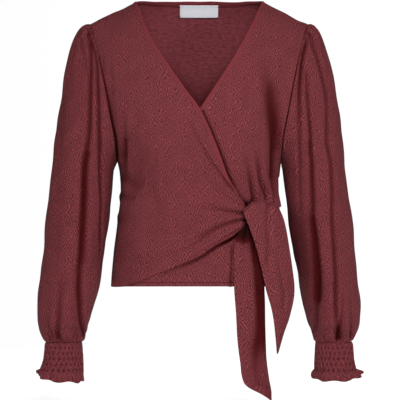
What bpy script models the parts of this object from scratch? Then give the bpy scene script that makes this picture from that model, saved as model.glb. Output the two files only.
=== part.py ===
"""Long-sleeved wrap top, filled out as worn, its cloth built as thin walls.

The front faces -Y, +Z is up, and the origin lies between the two high shoulder points.
All sizes are in millimetres and become metres where a mesh is made.
"""

import bmesh
import bpy
import numpy as np

MM = 0.001
SIDES = {"right": -1, "left": 1}    # the wearer's right is at -X

# Cloth and seams
WALL = 1.5                  # one layer of cloth, as a rigid wall
BAND_WALL = 0.8             # turned neck edge, label
SEAM_GAP = 0.3              # between two sewn pieces
ARMPIT_PARTING = 0.5        # more of it under the arm
BACK_TO_BACK = 0.6          # cosine below which two normals at a seam aren't averaged
LAYER_GAP = 0.4             # between a panel and what lies on it

# Shoulder line: from the high shoulder point down to the top of the armhole
NECK_HALF = 109.0
SHOULDER_SLOPE = 0.49
SHOULDER_TIP = 186.0
FRONT_ROUND = 195.0         # drop below the shoulder over which the chest reaches its full depth
BACK_ROUND = 150.0
SIDE_POWER = 2.3            # 2 is an ellipse, more is squarer
INSIDE_TORSO = (0, 0, -250)

# Torso sections
TORSO = (
    # height, half width, front depth, back depth
    (70, 206, 96, 88),
    (0, 204, 99, 91),
    (-60, 201, 104, 96),
    (-110, 195, 109, 100),
    (-160, 186, 113, 101),
    (-205, 171, 114, 100),
    (-240, 154, 112, 97),
    (-274, 140, 108, 94),
    (-322, 134.5, 98, 88),
    (-370, 139, 98, 91),
    (-430, 146.5, 103, 97),
    (-487, 151, 106, 101),
    (-500, 151.5, 106, 101),
)
HEM = -487.0
HEM_LIFT = 3.0              # centre front and back sit this much higher than the sides
BACK_NECK = 2.5             # height of the neck edge at centre back

# Armhole: half distance between the two seams at each height, seen from the front
ARMHOLE_TOP = -(SHOULDER_TIP - NECK_HALF) * SHOULDER_SLOPE
ARMHOLE_FOOT = -274.0
ARMHOLE = (
    # height, distance from the centre
    (-30, 188), (-65, 177.5), (-104, 168), (-148, 158.5), (-194, 150), (-235, 142.5), (-274, 140),
)

# Front edges, from the high shoulder point down
NECK_EDGE_OVER = (
    # sideways, height
    (-109, 0), (-99, -23), (-86, -57), (-62, -97), (-27, -148.5), (1, -187),
    (9.5, -204), (18, -222.5), (26.5, -243), (36, -268), (46.5, -298), (60, -325), (70.5, -347),
)
NECK_EDGE_UNDER = (
    (109, 0), (92, -37), (61, -95.5), (27, -148.5), (3.5, -184), (-27, -226), (-60, -268),
    (-93, -310), (-120, -350),
)
KNOT_END_OVER = ((70.5, -347), (72.5, -364), (71.5, -381))
LOWER_EDGE_OVER = (
    (71.5, -381), (66, -388.5), (53, -401), (30, -413.5), (1, -433), (-40, -451), (-75, -466),
    (-108, -479), (-130, -485.5), (-151, -487),
)
HIDDEN_EDGE_UNDER = ((-120, -350), (-131, -400), (-141, -486))
BAND_WIDTH = 5.5            # turned edge along both fronts
BACK_BAND_WIDTH = 10.0      # inside the back neck

# Layers of the wrap, measured out from the torso section
WRAP_STEP = 2.0             # each front lies this far from the section where the two overlap
WRAP_HEIGHTS = (-25, -130)  # heights over which the step sets in
OVER_ANGLES = (-85, -30)    # angles from the centre over which it sets in, over front
UNDER_ANGLES = (80, 45)     # and under front
HIDDEN_STEP = 2.5           # the under front's hidden edge lies this much further in
HIDDEN_ANGLES = (-20, -70)
KNOT_STANDOFF = 15.0        # the over front is pulled this far out at the knot
KNOT_CENTRE = (80.0, -366.0)
KNOT_REACH = 62.0

LABEL_SIZE = (67.0, 20.0)
LABEL_DROP = 3.5            # its top below the neck edge
LABEL_STANDOFF = WALL + LAYER_GAP + BAND_WALL + LAYER_GAP + 0.8

# Sleeves: the wearer's right sleeve (at -X) and left sleeve (at +X)
SLEEVES = {
    "right": (
        # height, outer side, inner side, centre depth, half depth
        (-289, 252.5, 145, 0, 57),
        (-340, 258, 150.5, -2, 57),
        (-382, 262.5, 154.5, -4, 57),
        (-425, 266.5, 161.5, -6, 56),
        (-476, 273, 169, -8, 54),
        (-511, 276, 177.5, -10, 52),
        (-537, 276.5, 184.5, -11, 49),
        (-554, 274.5, 189.5, -12, 44),
        (-568, 271, 193.5, -12, 36),
        (-581, 263, 200, -12, 27),
    ),
    "left": (
        (-289, 251.5, 143, 0, 57),
        (-340, 258, 149.5, -2, 57),
        (-382, 262.5, 154, -4, 57),
        (-425, 266.5, 160, -6, 56),
        (-476, 271.5, 170.5, -8, 54),
        (-511, 275, 177.5, -10, 52),
        (-537, 275.5, 184, -11, 49),
        (-554, 274, 188.5, -12, 44),
        (-568, 270, 193.5, -12, 36),
        (-581, 262.5, 199, -12, 27),
    ),
}
CUFFS = {
    "right": (
        # height, outer side, inner side, half depth, ripple
        (-581, 263, 200, 27, 0),
        (-602, 264.5, 199, 27, 0),
        (-618, 266, 198.5, 28, 0),
        (-630, 272.5, 197.5, 33, 1.5),
        (-638, 277, 196, 37, 3.0),
        (-648, 271, 194.5, 38, 4.0),
    ),
    "left": (
        (-581, 262.5, 199, 27, 0),
        (-602, 264.5, 198, 27, 0),
        (-618, 267, 197.5, 28, 0),
        (-630, 273, 195, 33, 1.5),
        (-638, 281, 189, 37, 3.0),
        (-648, 272, 196, 38, 4.0),
    ),
}
CUFF_DEPTH = -12.0
CAP_RISE = 1.82             # how late the cap turns down over the arm
CAP_SPREAD = 0.7            # how early it spreads sideways
CAP_ROUND = 0.9             # how early it takes the sleeve's depth
FOLD_ENDS = 0.7             # below 1 a sleeve's fold keeps its depth nearer to its ends
RUFFLE_WAVES = 5
RUFFLE_LIFT = 0.4           # the ruffle's edge rises this share of its ripple

# Largest folds of the sleeves, as soft troughs; the angle runs from the outer side to the front
SLEEVE_FOLDS = {
    "right": (
        # angle at the top, angle at the foot, top, foot, depth, half width in degrees
        (95, 118, -150, -560, 7, 17),
        (58, 62, -430, -575, 6, 14),
        (250, 236, -180, -560, 7, 20),
    ),
    "left": (
        (118, 132, -215, -540, 9, 22),
        (72, 78, -260, -570, 5, 14),
        (248, 240, -200, -560, 7, 20),
    ),
}

# Largest folds of the fronts, strongest at the knot
FRONT_FOLDS_OVER = (
    # start x, start z, end x, end z, depth, half width
    (72, -360, -60, -345, 5, 10),
    (70, -377, -40, -425, 5, 9),
)
GATHERS_UNDER = (
    (90, -352, 84, -270, 5, 6),
    (109, -350, 97, -235, 5, 6),
    (124, -348, 123, -255, 4, 6),
)

# Knot and ties
KNOT_PATH = (
    # sideways, depth, height, half thickness, half height
    (76.9, -99.5, -365.5, 5.5, 11),
    (84.5, -99, -366, 10.3, 12.5),
    (95, -93.5, -365.5, 10, 12),
    (108, -84, -364, 8.5, 11),
    (120, -73, -363, 6, 9),
)
TIE_WIDE = (
    # height at the left and right edge, sideways left and right, depth left and right
    (-350, -349, 77, 133, -92, -66),
    (-347, -346, 75, 135, -102, -76),
    (-353, -351, 75.5, 136.5, -110, -84),
    (-366, -364, 79.5, 141, -112, -87),
    (-390, -388, 87.5, 147, -113, -87),
    (-425, -420, 98, 153, -113, -86),
    (-465, -458, 107, 158, -113, -85),
    (-490, -482, 112.5, 161, -112, -84),
    (-516, -506, 120.5, 160, -111, -84),
    (-541, -536, 125, 152.5, -109, -88),
    (-570, -566, 128, 142.5, -107, -94),
    (-597, -595, 130, 133.5, -104, -100),
)
TIE_LONG = (
    (-379, -379, 74, 92, -97, -95),
    (-392, -390, 66, 100, -97, -93),
    (-412, -410, 60, 107, -99, -93),
    (-450, -450, 59, 109, -101, -94),
    (-487, -487, 59, 110, -103, -96),
    (-530, -530, 62, 111, -104, -96),
    (-575, -575, 64.5, 112, -104, -96),
    (-612, -612, 69, 114, -104, -96),
    (-638, -640, 72.5, 117.5, -104, -96),
    (-644, -662, 74.5, 121.5, -103, -97),
    (-668, -676, 110, 122, -99, -97),
)

TIE_BOWS = {"tie_wide": 5, "tie_long": 3}
INSIDE_TIES = (60, 0, -500)

# Grid of each piece
ARM_STEPS = 10              # from the top of the armhole to its foot, front or back
SIDE_STEPS = 10             # down the side seam
EDGE_STEPS = 15             # down the open front edge
EDGE_CROWD = 0.35           # share of its steps that is drawn towards the shoulder
UNDER_BAND_STEPS = 10       # of them the under front's turned edge covers, to below the crossing
OVER_COLUMNS = 17
UNDER_COLUMNS = 15
SHOULDER_COLUMNS = 3
BACK_NECK_COLUMNS = 10
CAP_STEPS = 6
TIE_COLUMNS = 5
LABEL_COLUMNS = 6
LABEL_ROWS = 3
KNOT_SIDES = 12
NEAR = 0.01                 # two places closer than this are one

CLOTH_COLOUR = (0.175, 0.036, 0.042)
BAND_COLOUR = (0.21, 0.05, 0.056)
LABEL_COLOUR = (0.86, 0.86, 0.85)


# ---------------------------------------------------------------- curves and tables

def through(rows, key):
    """All columns of a table at the given key: a cubic through its rows."""
    rows = np.asarray(rows, float)
    rows = rows[np.argsort(rows[:, 0])]
    keys, values = rows[:, 0], rows[:, 1:]
    slopes = np.gradient(values, keys, axis=0)
    key = np.clip(np.asarray(key, float), keys[0], keys[-1])
    lower = np.clip(np.searchsorted(keys, key) - 1, 0, len(keys) - 2)
    width = keys[lower + 1] - keys[lower]
    t = ((key - keys[lower]) / width)[..., None]
    width = width[..., None]
    return ((1 + 2 * t) * (1 - t) ** 2 * values[lower] + t * (1 - t) ** 2 * width * slopes[lower]
            + t * t * (3 - 2 * t) * values[lower + 1] + t * t * (t - 1) * width * slopes[lower + 1])


def along(points, share):
    """Points at the given shares of the length of a smooth line through a few points."""
    points = np.asarray(points, float)
    length = np.concatenate(([0], np.cumsum(np.linalg.norm(np.diff(points, axis=0), axis=1))))
    return through(np.column_stack((length, points)), np.asarray(share) * length[-1])


def smooth(value, start, end):
    """0 before start, 1 after end, and a soft step between."""
    t = np.clip((value - start) / (end - start), 0, 1)
    return t * t * (3 - 2 * t)


# ---------------------------------------------------------------- the torso's surface

def ridge(x):
    """Height of the shoulder line, carried on over the neck opening as a low arch."""
    arch = (NECK_HALF ** 2 - x ** 2) / (2 * NECK_HALF)
    return SHOULDER_SLOPE * np.where(np.abs(x) > NECK_HALF, NECK_HALF - np.abs(x), arch)


def torso(angle, z, back=False):
    """Point of the torso at an angle from the centre (degrees, + is +X) and a height."""
    half_width, front_depth, back_depth = np.moveaxis(through(TORSO, z), -1, 0)
    sine, cosine = np.sin(np.radians(angle)), np.cos(np.radians(angle))
    x = half_width * np.sign(sine) * np.abs(sine) ** (2 / SIDE_POWER)
    drop = np.clip((ridge(x) - z) / (BACK_ROUND if back else FRONT_ROUND), 0, 1)
    depth = np.sqrt(1 - (1 - drop) ** 2) * np.abs(cosine) ** (2 / SIDE_POWER)
    y = depth * (back_depth if back else -front_depth)
    return np.stack((x, y, z + 0 * x), axis=-1)


def angle_at(x, z):
    """Angle from the centre at which the torso is this far sideways."""
    half_width = through(TORSO, z)[..., 0]
    share = np.clip(np.abs(x) / half_width, 0, 1)
    return np.sign(x) * np.degrees(np.arcsin(share ** (SIDE_POWER / 2)))


def hem_height(angle):
    return HEM + HEM_LIFT * np.cos(np.radians(angle))


def armhole_height(steps):
    """Heights of the points of half an armhole, closer together at its top and foot."""
    turn = np.linspace(0, np.pi, steps + 1)
    middle, half = (ARMHOLE_TOP + ARMHOLE_FOOT) / 2, (ARMHOLE_TOP - ARMHOLE_FOOT) / 2
    return middle + half * np.cos(turn)


def outer_edge(side):
    """Armhole and side seam as angle and height, from the shoulder down; side is -1 or 1."""
    z_arm = armhole_height(ARM_STEPS)
    x_arm = through(ARMHOLE, z_arm)[..., 0]
    x_arm[0] = SHOULDER_TIP
    angle_arm = angle_at(x_arm, z_arm)
    angle_arm[-1] = 90
    z_side = np.linspace(ARMHOLE_FOOT, HEM, SIDE_STEPS + 1)[1:]
    angle = np.concatenate((angle_arm, np.full(SIDE_STEPS, 90.0)))
    return np.column_stack((side * angle, np.concatenate((z_arm, z_side))))


def to_angle(points):
    """(sideways, height) points as (angle, height) points."""
    return np.column_stack((angle_at(points[:, 0], points[:, 1]), points[:, 1]))


def patch(top, foot, left, right):
    """Grid between four edge lines: the two ruled surfaces less the one through the corners."""
    u = np.linspace(0, 1, len(top))[None, :, None]
    v = np.linspace(0, 1, len(left))[:, None, None]
    across = (1 - u) * left[:, None] + u * right[:, None]
    down = (1 - v) * top[None] + v * foot[None]
    corners = ((1 - u) * (1 - v) * top[0] + u * (1 - v) * top[-1]
               + (1 - u) * v * foot[0] + u * v * foot[-1])
    return across + down - corners


def beside(line, width, side):
    """The line moved sideways in the front view by a width, towards -X or +X."""
    step = np.gradient(line, axis=0)
    step /= np.linalg.norm(step, axis=1, keepdims=True)
    normal = np.column_stack((step[:, 1], -step[:, 0]))
    normal *= np.where(normal[:, :1] * side < 0, -1, 1)
    return line + width * normal


def troughs(x, z, rows):
    """Depth of soft troughs that start deep and fade out along a straight run."""
    depth = np.zeros_like(x)
    for start_x, start_z, end_x, end_z, deep, half in rows:
        run = np.array((end_x - start_x, end_z - start_z), float)
        t = ((x - start_x) * run[0] + (z - start_z) * run[1]) / (run @ run)
        t_near = np.clip(t, 0, 1)
        gap = np.hypot(x - start_x - t_near * run[0], z - start_z - t_near * run[1])
        depth += deep * (1 - t_near) * np.exp(-(gap / half) ** 2)
    return depth


# ---------------------------------------------------------------- pieces

class Piece:
    """A grid of points on the outer face of a piece of cloth, with its normals."""

    def __init__(self, name, grid, loop=False, inside=None):
        self.name = name
        self.grid = grid
        self.loop = loop
        self.normal = grid_normals(grid, loop)
        from_inside = grid - (grid.mean((0, 1)) if inside is None else inside)
        if np.sum(self.normal * from_inside) < 0:
            self.normal = -self.normal


def grid_normals(grid, loop=False):
    """Normal at each point of a grid: the mean of the faces around it."""
    rows, columns = grid.shape[:2]
    around = np.concatenate((grid, grid[:, :1]), axis=1) if loop else grid
    first = around[1:, 1:] - around[:-1, :-1]
    second = around[1:, :-1] - around[:-1, 1:]
    face = np.cross(first, second)
    total = np.zeros((rows, around.shape[1], 3))
    for row, column in ((0, 0), (0, 1), (1, 0), (1, 1)):
        total[row:row + rows - 1, column:column + face.shape[1]] += face
    if loop:
        total[:, 0] += total[:, -1]
        total = total[:, :columns]
    return total / np.linalg.norm(total, axis=2, keepdims=True)


def share_normals(pieces):
    """Gives points that lie at one place in several pieces their mean normal.

    Where two pieces hang back to back, as under the arm, each keeps its own.
    """
    total = {}
    for piece in pieces:
        weight = np.ones(piece.grid.shape[:2])
        if not piece.loop:
            weight[:, (0, -1)] *= 0.5
        weight[(0, -1), :] *= 0.5
        keys = np.round(piece.grid, 3) + 0.0
        piece.keys = [tuple(key) for key in keys.reshape(-1, 3)]
        for key, normal, part in zip(piece.keys, piece.normal.reshape(-1, 3), weight.ravel()):
            total[key] = total.get(key, 0) + part * normal
    for piece in pieces:
        normals = np.array([total[key] for key in piece.keys])
        normals /= np.linalg.norm(normals, axis=1, keepdims=True)
        normals = normals.reshape(piece.grid.shape)
        alike = np.sum(normals * piece.normal, axis=2, keepdims=True) > BACK_TO_BACK
        piece.normal = np.where(alike, normals, piece.normal)


def pull_back(piece, edge, distance, chosen=slice(None)):
    """Moves an edge towards the inside of its piece, square to its normals."""
    rows = {"top": (0, 1), "foot": (-1, -2)}
    if edge in rows:
        at, inside = ((row, chosen) for row in rows[edge])
    else:
        at, inside = ((chosen, column) for column in ((0, 1) if edge == "first" else (-1, -2)))
    step = piece.grid[inside] - piece.grid[at]
    normal = piece.normal[at]
    step = step - np.sum(step * normal, axis=-1, keepdims=True) * normal
    step /= np.linalg.norm(step, axis=-1, keepdims=True)
    piece.grid[at] += distance * step


def wall_mesh(name, outer, inner, loop=False):
    """Closed mesh between two grids of the same size."""
    rows, columns = outer.shape[:2]
    count = rows * columns
    index = np.arange(count).reshape(rows, columns)
    if loop:
        index = np.concatenate((index, index[:, :1]), axis=1)
    faces = [
        np.stack((index[:-1, :-1], index[:-1, 1:], index[1:, 1:], index[1:, :-1]), -1),
        count + np.stack((index[:-1, :-1], index[1:, :-1], index[1:, 1:], index[:-1, 1:]), -1),
    ]
    rims = [index[0], index[-1]] + ([] if loop else [index[:, 0], index[:, -1]])
    for rim in rims:
        faces.append(np.stack((rim[:-1], rim[1:], rim[1:] + count, rim[:-1] + count), -1))
    quads = np.concatenate([face.reshape(-1, 4) for face in faces])
    points = np.concatenate((outer.reshape(-1, 3), inner.reshape(-1, 3))) * MM
    mesh = bpy.data.meshes.new(name)
    mesh.from_pydata(points.tolist(), [], quads.tolist())
    body = bmesh.new()
    body.from_mesh(mesh)
    bmesh.ops.triangulate(body, faces=body.faces)
    bmesh.ops.recalc_face_normals(body, faces=body.faces)
    body.to_mesh(mesh)
    body.free()
    return mesh


def add_object(mesh, material, collection):
    piece = bpy.data.objects.new(mesh.name, mesh)
    mesh.materials.append(material)
    mesh.shade_smooth()
    collection.objects.link(piece)
    return piece


def front_edge(upper, lower, side):
    """A front's edge line and the line one band inside it; side is that of its armhole.

    Steps are shorter by the shoulder, where the edge curves most.
    """
    share = np.linspace(0, 1, EDGE_STEPS)
    share = EDGE_CROWD * share ** 2 + (1 - EDGE_CROWD) * share
    rest = np.linspace(0, 1, ARM_STEPS + SIDE_STEPS + 2 - EDGE_STEPS)[1:]
    edge = np.concatenate((along(upper, share), along(lower, rest)))
    inside = beside(edge, BAND_WIDTH, side)
    inside[0, 0] = edge[0, 0] + side * BAND_WIDTH
    inside[0, 1] = ridge(inside[0, 0])
    return edge, inside


def straight(start, end, share):
    """Points at the given shares of a straight line."""
    start, end = np.asarray(start, float), np.asarray(end, float)
    return start + np.asarray(share)[:, None] * (end - start)


def lifted(name, grid, points, rise):
    """A front as a piece: its points moved out along the torso's normals, the armhole kept."""
    normal = grid_normals(points)
    normal *= -np.sign(normal[..., 1:2].mean())
    rise = rise * (np.arange(grid.shape[1]) > 0)
    return Piece(name, points + rise[..., None] * normal, inside=INSIDE_TORSO)


def front_over():
    """The wearer's right front, which wraps over and is gathered at the knot."""
    edge, inside = front_edge(NECK_EDGE_OVER, KNOT_END_OVER, -1)
    columns = np.linspace(0, 1, OVER_COLUMNS + 1)
    shoulder = straight((-SHOULDER_TIP, ARMHOLE_TOP), inside[0], columns)
    lower = along(LOWER_EDGE_OVER[::-1], columns)
    lower[-1] = inside[-1]
    lower[0] = (-151, HEM)
    grid = patch(to_angle(shoulder), to_angle(lower), outer_edge(-1), to_angle(inside))
    grid = np.concatenate((grid, to_angle(edge)[:, None]), axis=1)
    points = torso(grid[..., 0], grid[..., 1])
    x, z = points[..., 0], points[..., 2]
    from_knot = np.hypot(x - KNOT_CENTRE[0], z - KNOT_CENTRE[1])
    rise = WRAP_STEP * smooth(grid[..., 0], *OVER_ANGLES) * smooth(z, *WRAP_HEIGHTS)
    rise += KNOT_STANDOFF * np.exp(-(from_knot / KNOT_REACH) ** 2)
    rise -= troughs(x, z, FRONT_FOLDS_OVER)
    return lifted("front_over", grid, points, rise)


def front_under():
    """The wearer's left front, gathered at the knot, which runs on under the other front."""
    edge, inside = front_edge(NECK_EDGE_UNDER, HIDDEN_EDGE_UNDER, 1)
    columns = np.linspace(0, 1, UNDER_COLUMNS + 1)
    shoulder = straight((SHOULDER_TIP, ARMHOLE_TOP), inside[0], columns)
    foot_angle = 90 + columns * (to_angle(inside[-1:])[0, 0] - 90)
    foot = np.column_stack((foot_angle, hem_height(foot_angle)))
    inside_angle = to_angle(inside)
    inside_angle[-1] = foot[-1]
    edge_angle = to_angle(edge)
    edge_angle[-1, 1] = hem_height(edge_angle[-1, 0])
    grid = patch(to_angle(shoulder), foot, outer_edge(1), inside_angle)
    grid = np.concatenate((grid, edge_angle[:, None]), axis=1)
    points = torso(grid[..., 0], grid[..., 1])
    x, z = points[..., 0], points[..., 2]
    rise = -WRAP_STEP * smooth(grid[..., 0], *UNDER_ANGLES) * smooth(z, *WRAP_HEIGHTS)
    rise -= HIDDEN_STEP * smooth(grid[..., 0], *HIDDEN_ANGLES)
    rise -= troughs(x, z, GATHERS_UNDER)
    return lifted("front_under", grid, points, rise)


def back_panel():
    """The back, from armhole to armhole, with its neck edge between the shoulders."""
    shoulder = straight((-SHOULDER_TIP, ARMHOLE_TOP), (-NECK_HALF, 0),
                        np.linspace(0, 1, SHOULDER_COLUMNS + 1))
    turn = np.linspace(-90, 90, BACK_NECK_COLUMNS + 1)
    neck = np.column_stack((NECK_HALF * np.sin(np.radians(turn)),
                            BACK_NECK * np.cos(np.radians(turn))))
    top = np.concatenate((shoulder[:-1], neck, (shoulder * (-1, 1))[::-1][1:]))
    foot_angle = np.linspace(-90, 90, len(top))
    foot = np.column_stack((foot_angle, hem_height(foot_angle)))
    grid = patch(to_angle(top), foot, outer_edge(-1), outer_edge(1))
    at_neck = slice(SHOULDER_COLUMNS, SHOULDER_COLUMNS + BACK_NECK_COLUMNS + 1)
    grid[1, at_neck] = grid[0, at_neck] - (0, BACK_BAND_WIDTH)
    points = torso(grid[..., 0], grid[..., 1], back=True)
    return Piece("back", points, inside=INSIDE_TORSO)


def armhole_ring(side):
    """Seam points of one armhole, from its top round the front and up the back."""
    edge = outer_edge(side)[:ARM_STEPS + 1]
    front = torso(edge[:, 0], edge[:, 1])
    rear = torso(edge[:, 0], edge[:, 1], back=True)
    return np.concatenate((front, rear[-2:0:-1]))


def sleeve_grid(name, side):
    """Rings from the armhole over the cap and down to the cuff."""
    start = armhole_ring(side)
    count = len(start)
    turn = np.linspace(0, 2 * np.pi, count, endpoint=False)
    table = np.asarray(SLEEVES[name], float)
    heights = table[:, 0]
    outer, inner, depth, half_depth = through(table, heights).T
    middle, half = (outer + inner) / 2, (outer - inner) / 2
    ring_x = side * (middle[:, None] + half[:, None] * np.cos(turn))
    ring_y = depth[:, None] - half_depth[:, None] * np.sin(turn)
    rings = np.stack((ring_x, ring_y, np.repeat(heights[:, None], count, 1)), -1)
    share = np.linspace(0, 1, CAP_STEPS + 1)[:-1, None]
    top = (1 + np.cos(turn)) / 2
    ease = np.stack((share ** (1 - (1 - CAP_SPREAD) * top), share ** CAP_ROUND + 0 * top,
                     share ** (1 + (CAP_RISE - 1) * top)), -1)
    cap = start + (rings[0] - start) * ease
    grid = np.concatenate((cap, rings))
    normal = grid_normals(grid, loop=True)
    normal *= np.sign(np.sum(normal[-4, 0] * (side, 0, 0)))
    angle = np.degrees(turn)
    z = grid[..., 2]
    dent = np.zeros_like(z)
    for top_angle, foot_angle, fold_top, fold_foot, deep, half in SLEEVE_FOLDS[name]:
        t = np.clip((z - fold_top) / (fold_foot - fold_top), 0, 1)
        away = (angle - top_angle - t * (foot_angle - top_angle) + 180) % 360 - 180
        dent += deep * np.sin(np.pi * t) ** FOLD_ENDS * np.exp(-(away / half) ** 2)
    dent *= smooth(np.arange(len(grid)), 0, 2)[:, None]     # none at the seam's own points
    grid = grid - dent[..., None] * normal
    return Piece("sleeve_" + name, grid, loop=True)


def part_from_side(sleeve):
    """Moves the lower half of the armhole ring out, where sleeve and side hang back to back."""
    ring = sleeve.grid[0]
    lowness = np.clip((ring[:, 2] - ARMHOLE_TOP) / (ARMHOLE_FOOT - ARMHOLE_TOP), 0, 1)
    ring[:, 0] += np.sign(ring[0, 0]) * ARMPIT_PARTING * lowness ** 2


def cuff_grid(name, side, rings_of_sleeve):
    """Shirred cuff and its ruffle, from the sleeve's last ring down."""
    table = np.asarray(CUFFS[name], float)
    count = rings_of_sleeve.shape[1]
    turn = np.linspace(0, 2 * np.pi, count, endpoint=False)
    height, outer, inner, half_depth, ripple = table.T
    wave = ripple[:, None] * np.cos(RUFFLE_WAVES * turn)
    half = ((outer - inner) / 2)[:, None] + wave
    x = side * (((outer + inner) / 2)[:, None] + half * np.cos(turn))
    y = CUFF_DEPTH - (half_depth[:, None] + wave) * np.sin(turn)
    z = height[:, None] + RUFFLE_LIFT * wave
    grid = np.stack((x, y, z + 0 * x), -1)
    grid[0] = rings_of_sleeve[-1]
    return Piece("cuff_" + name, grid, loop=True)


def on_panel(name, piece, rows, columns, rise, thickness):
    """A strip over some of a panel's own faces, moved out from them by rise."""
    face = piece.grid[rows, columns] + rise * piece.normal[rows, columns]
    return wall_mesh(name, face + thickness * piece.normal[rows, columns], face)


def label_mesh():
    """Plain label inside the back neck, hung from just below the edge, over the turned band."""
    width, height = LABEL_SIZE
    x = np.linspace(-width / 2, width / 2, LABEL_COLUMNS + 1)[None, :]
    z = BACK_NECK - LABEL_DROP - np.linspace(0, height, LABEL_ROWS + 1)[:, None]
    x, z = np.broadcast_arrays(x, z)
    face = torso(angle_at(x, z), z, back=True)
    inward = -grid_normals(face)
    inward *= -np.sign(inward[..., 1:2].mean())
    face = face + LABEL_STANDOFF * inward
    return wall_mesh("label", face, face + BAND_WALL * inward)


def knot_mesh():
    """Rolled knot: round sections along a short run from the over front to the side."""
    rows = np.asarray(KNOT_PATH, float)
    turn = np.linspace(0, 2 * np.pi, KNOT_SIDES, endpoint=False)
    heading = np.gradient(rows[:, :2], axis=0)
    heading /= np.linalg.norm(heading, axis=1, keepdims=True)
    out = np.column_stack((heading[:, 1], -heading[:, 0]))
    rings = []
    for row, facing in zip(rows, out):
        x, y, z, thick, high = row
        across = thick * np.cos(turn)
        rings.append(np.column_stack((x + across * facing[0], y + across * facing[1],
                                      z + high * np.sin(turn))))
    grid = np.array(rings)
    body = bmesh.new()
    loops = [[body.verts.new(point * MM) for point in ring] for ring in grid]
    for first, second in zip(loops, loops[1:]):
        for i, point in enumerate(first):
            following = (i + 1) % len(first)
            body.faces.new((point, first[following], second[following], second[i]))
    body.faces.new(loops[0])
    body.faces.new(loops[-1])
    bmesh.ops.triangulate(body, faces=body.faces)
    bmesh.ops.recalc_face_normals(body, faces=body.faces)
    mesh = bpy.data.meshes.new("knot")
    body.to_mesh(mesh)
    body.free()
    return mesh


def tie_mesh(name, rows):
    """Free tie end: a strip between its two edges, slightly bowed across."""
    rows = np.asarray(rows, float)
    share = np.linspace(0, 1, TIE_COLUMNS + 1)[None, :]
    z_left, z_right, x_left, x_right, y_left, y_right = (column[:, None] for column in rows.T)
    x = x_left + (x_right - x_left) * share
    y = y_left + (y_right - y_left) * share - TIE_BOWS[name] * np.sin(np.pi * share)
    z = z_left + (z_right - z_left) * share
    piece = Piece(name, np.stack((x, y, z), -1), inside=INSIDE_TIES)
    return wall_mesh(name, piece.grid, piece.grid - WALL * piece.normal)


# ---------------------------------------------------------------- materials and scene

def material(name, colour, roughness):
    made = bpy.data.materials.new(name)
    made.use_nodes = True
    shader = made.node_tree.nodes["Principled BSDF"]
    shader.inputs["Base Color"].default_value = (*colour, 1)
    shader.inputs["Roughness"].default_value = roughness
    shader.inputs["Metallic"].default_value = 0
    made.diffuse_color = (*colour, 1)
    return made


def on_shoulder(panel):
    """Which of a panel's top points lie on the shoulder seams."""
    return np.abs(panel.grid[0, :, 0]) > NECK_HALF - NEAR


def shoulder_normals(panel):
    """Points the normals of the shoulder seam's points straight up from the seam."""
    chosen = on_shoulder(panel)
    side = np.sign(panel.grid[0, chosen, 0])
    up = np.column_stack((side * SHOULDER_SLOPE, 0 * side, 1 + 0 * side))
    panel.normal[0, chosen] = up / np.hypot(SHOULDER_SLOPE, 1)


def build():
    for old in list(bpy.data.objects):
        bpy.data.objects.remove(old)
    collection = bpy.data.collections.new("wrap_top")
    bpy.context.scene.collection.children.link(collection)

    back, over, under = back_panel(), front_over(), front_under()
    sleeves = {name: sleeve_grid(name, side) for name, side in SIDES.items()}
    cuffs = {name: cuff_grid(name, side, sleeves[name].grid) for name, side in SIDES.items()}
    pieces = [back, over, under, *sleeves.values(), *cuffs.values()]
    for panel in (back, over, under):
        shoulder_normals(panel)
    share_normals(pieces)

    half_gap = SEAM_GAP / 2
    for panel in (over, under, back):
        pull_back(panel, "top", half_gap, on_shoulder(panel))
        pull_back(panel, "first", half_gap)
    pull_back(back, "last", half_gap)
    for piece in sleeves.values():
        pull_back(piece, "top", half_gap)
        pull_back(piece, "foot", half_gap)
        part_from_side(piece)
    for piece in cuffs.values():
        pull_back(piece, "top", half_gap)

    jersey = material("burgundy_jersey", CLOTH_COLOUR, 0.85)
    edging = material("burgundy_edging", BAND_COLOUR, 0.8)
    satin = material("white_label", LABEL_COLOUR, 0.6)
    for piece in pieces:
        inner = piece.grid - WALL * piece.normal
        add_object(wall_mesh(piece.name, piece.grid, inner, piece.loop), jersey, collection)

    at_neck = slice(SHOULDER_COLUMNS, SHOULDER_COLUMNS + BACK_NECK_COLUMNS + 1)
    bands = (
        on_panel("neck_edge_over", over, slice(EDGE_STEPS), slice(-2, None), LAYER_GAP, BAND_WALL),
        on_panel("neck_edge_under", under, slice(UNDER_BAND_STEPS), slice(-2, None), LAYER_GAP,
                 BAND_WALL),
        on_panel("neck_edge_back", back, slice(2), at_neck, -WALL - LAYER_GAP, -BAND_WALL),
    )
    for mesh in bands:
        add_object(mesh, edging, collection)
    add_object(label_mesh(), satin, collection)
    add_object(knot_mesh(), jersey, collection)
    add_object(tie_mesh("tie_wide", TIE_WIDE), jersey, collection)
    add_object(tie_mesh("tie_long", TIE_LONG), jersey, collection)


build()
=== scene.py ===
"""Wrap top in burgundy zigzag jersey: its cloth, folds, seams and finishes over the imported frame.

The front faces -Y, +Z is up, and the origin lies between the two high shoulder points. Tables are
in millimetres, and a mesh gets metres.
"""

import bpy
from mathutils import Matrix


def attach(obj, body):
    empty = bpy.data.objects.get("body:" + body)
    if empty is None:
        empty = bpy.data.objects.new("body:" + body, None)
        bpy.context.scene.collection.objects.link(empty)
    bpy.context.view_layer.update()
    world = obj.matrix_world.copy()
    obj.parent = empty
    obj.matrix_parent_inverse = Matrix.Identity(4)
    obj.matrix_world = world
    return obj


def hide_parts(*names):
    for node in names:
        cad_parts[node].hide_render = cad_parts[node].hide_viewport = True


bl_info = {
    "name": "Wrap Top",
    "version": (1, 0, 0),
    "blender": (4, 5, 0),
    "location": "3D View > Sidebar > Wrap Top",
    "description": "Makes the pieces of a jersey wrap top and a plain studio around it",
    "category": "Object",
}

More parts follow.
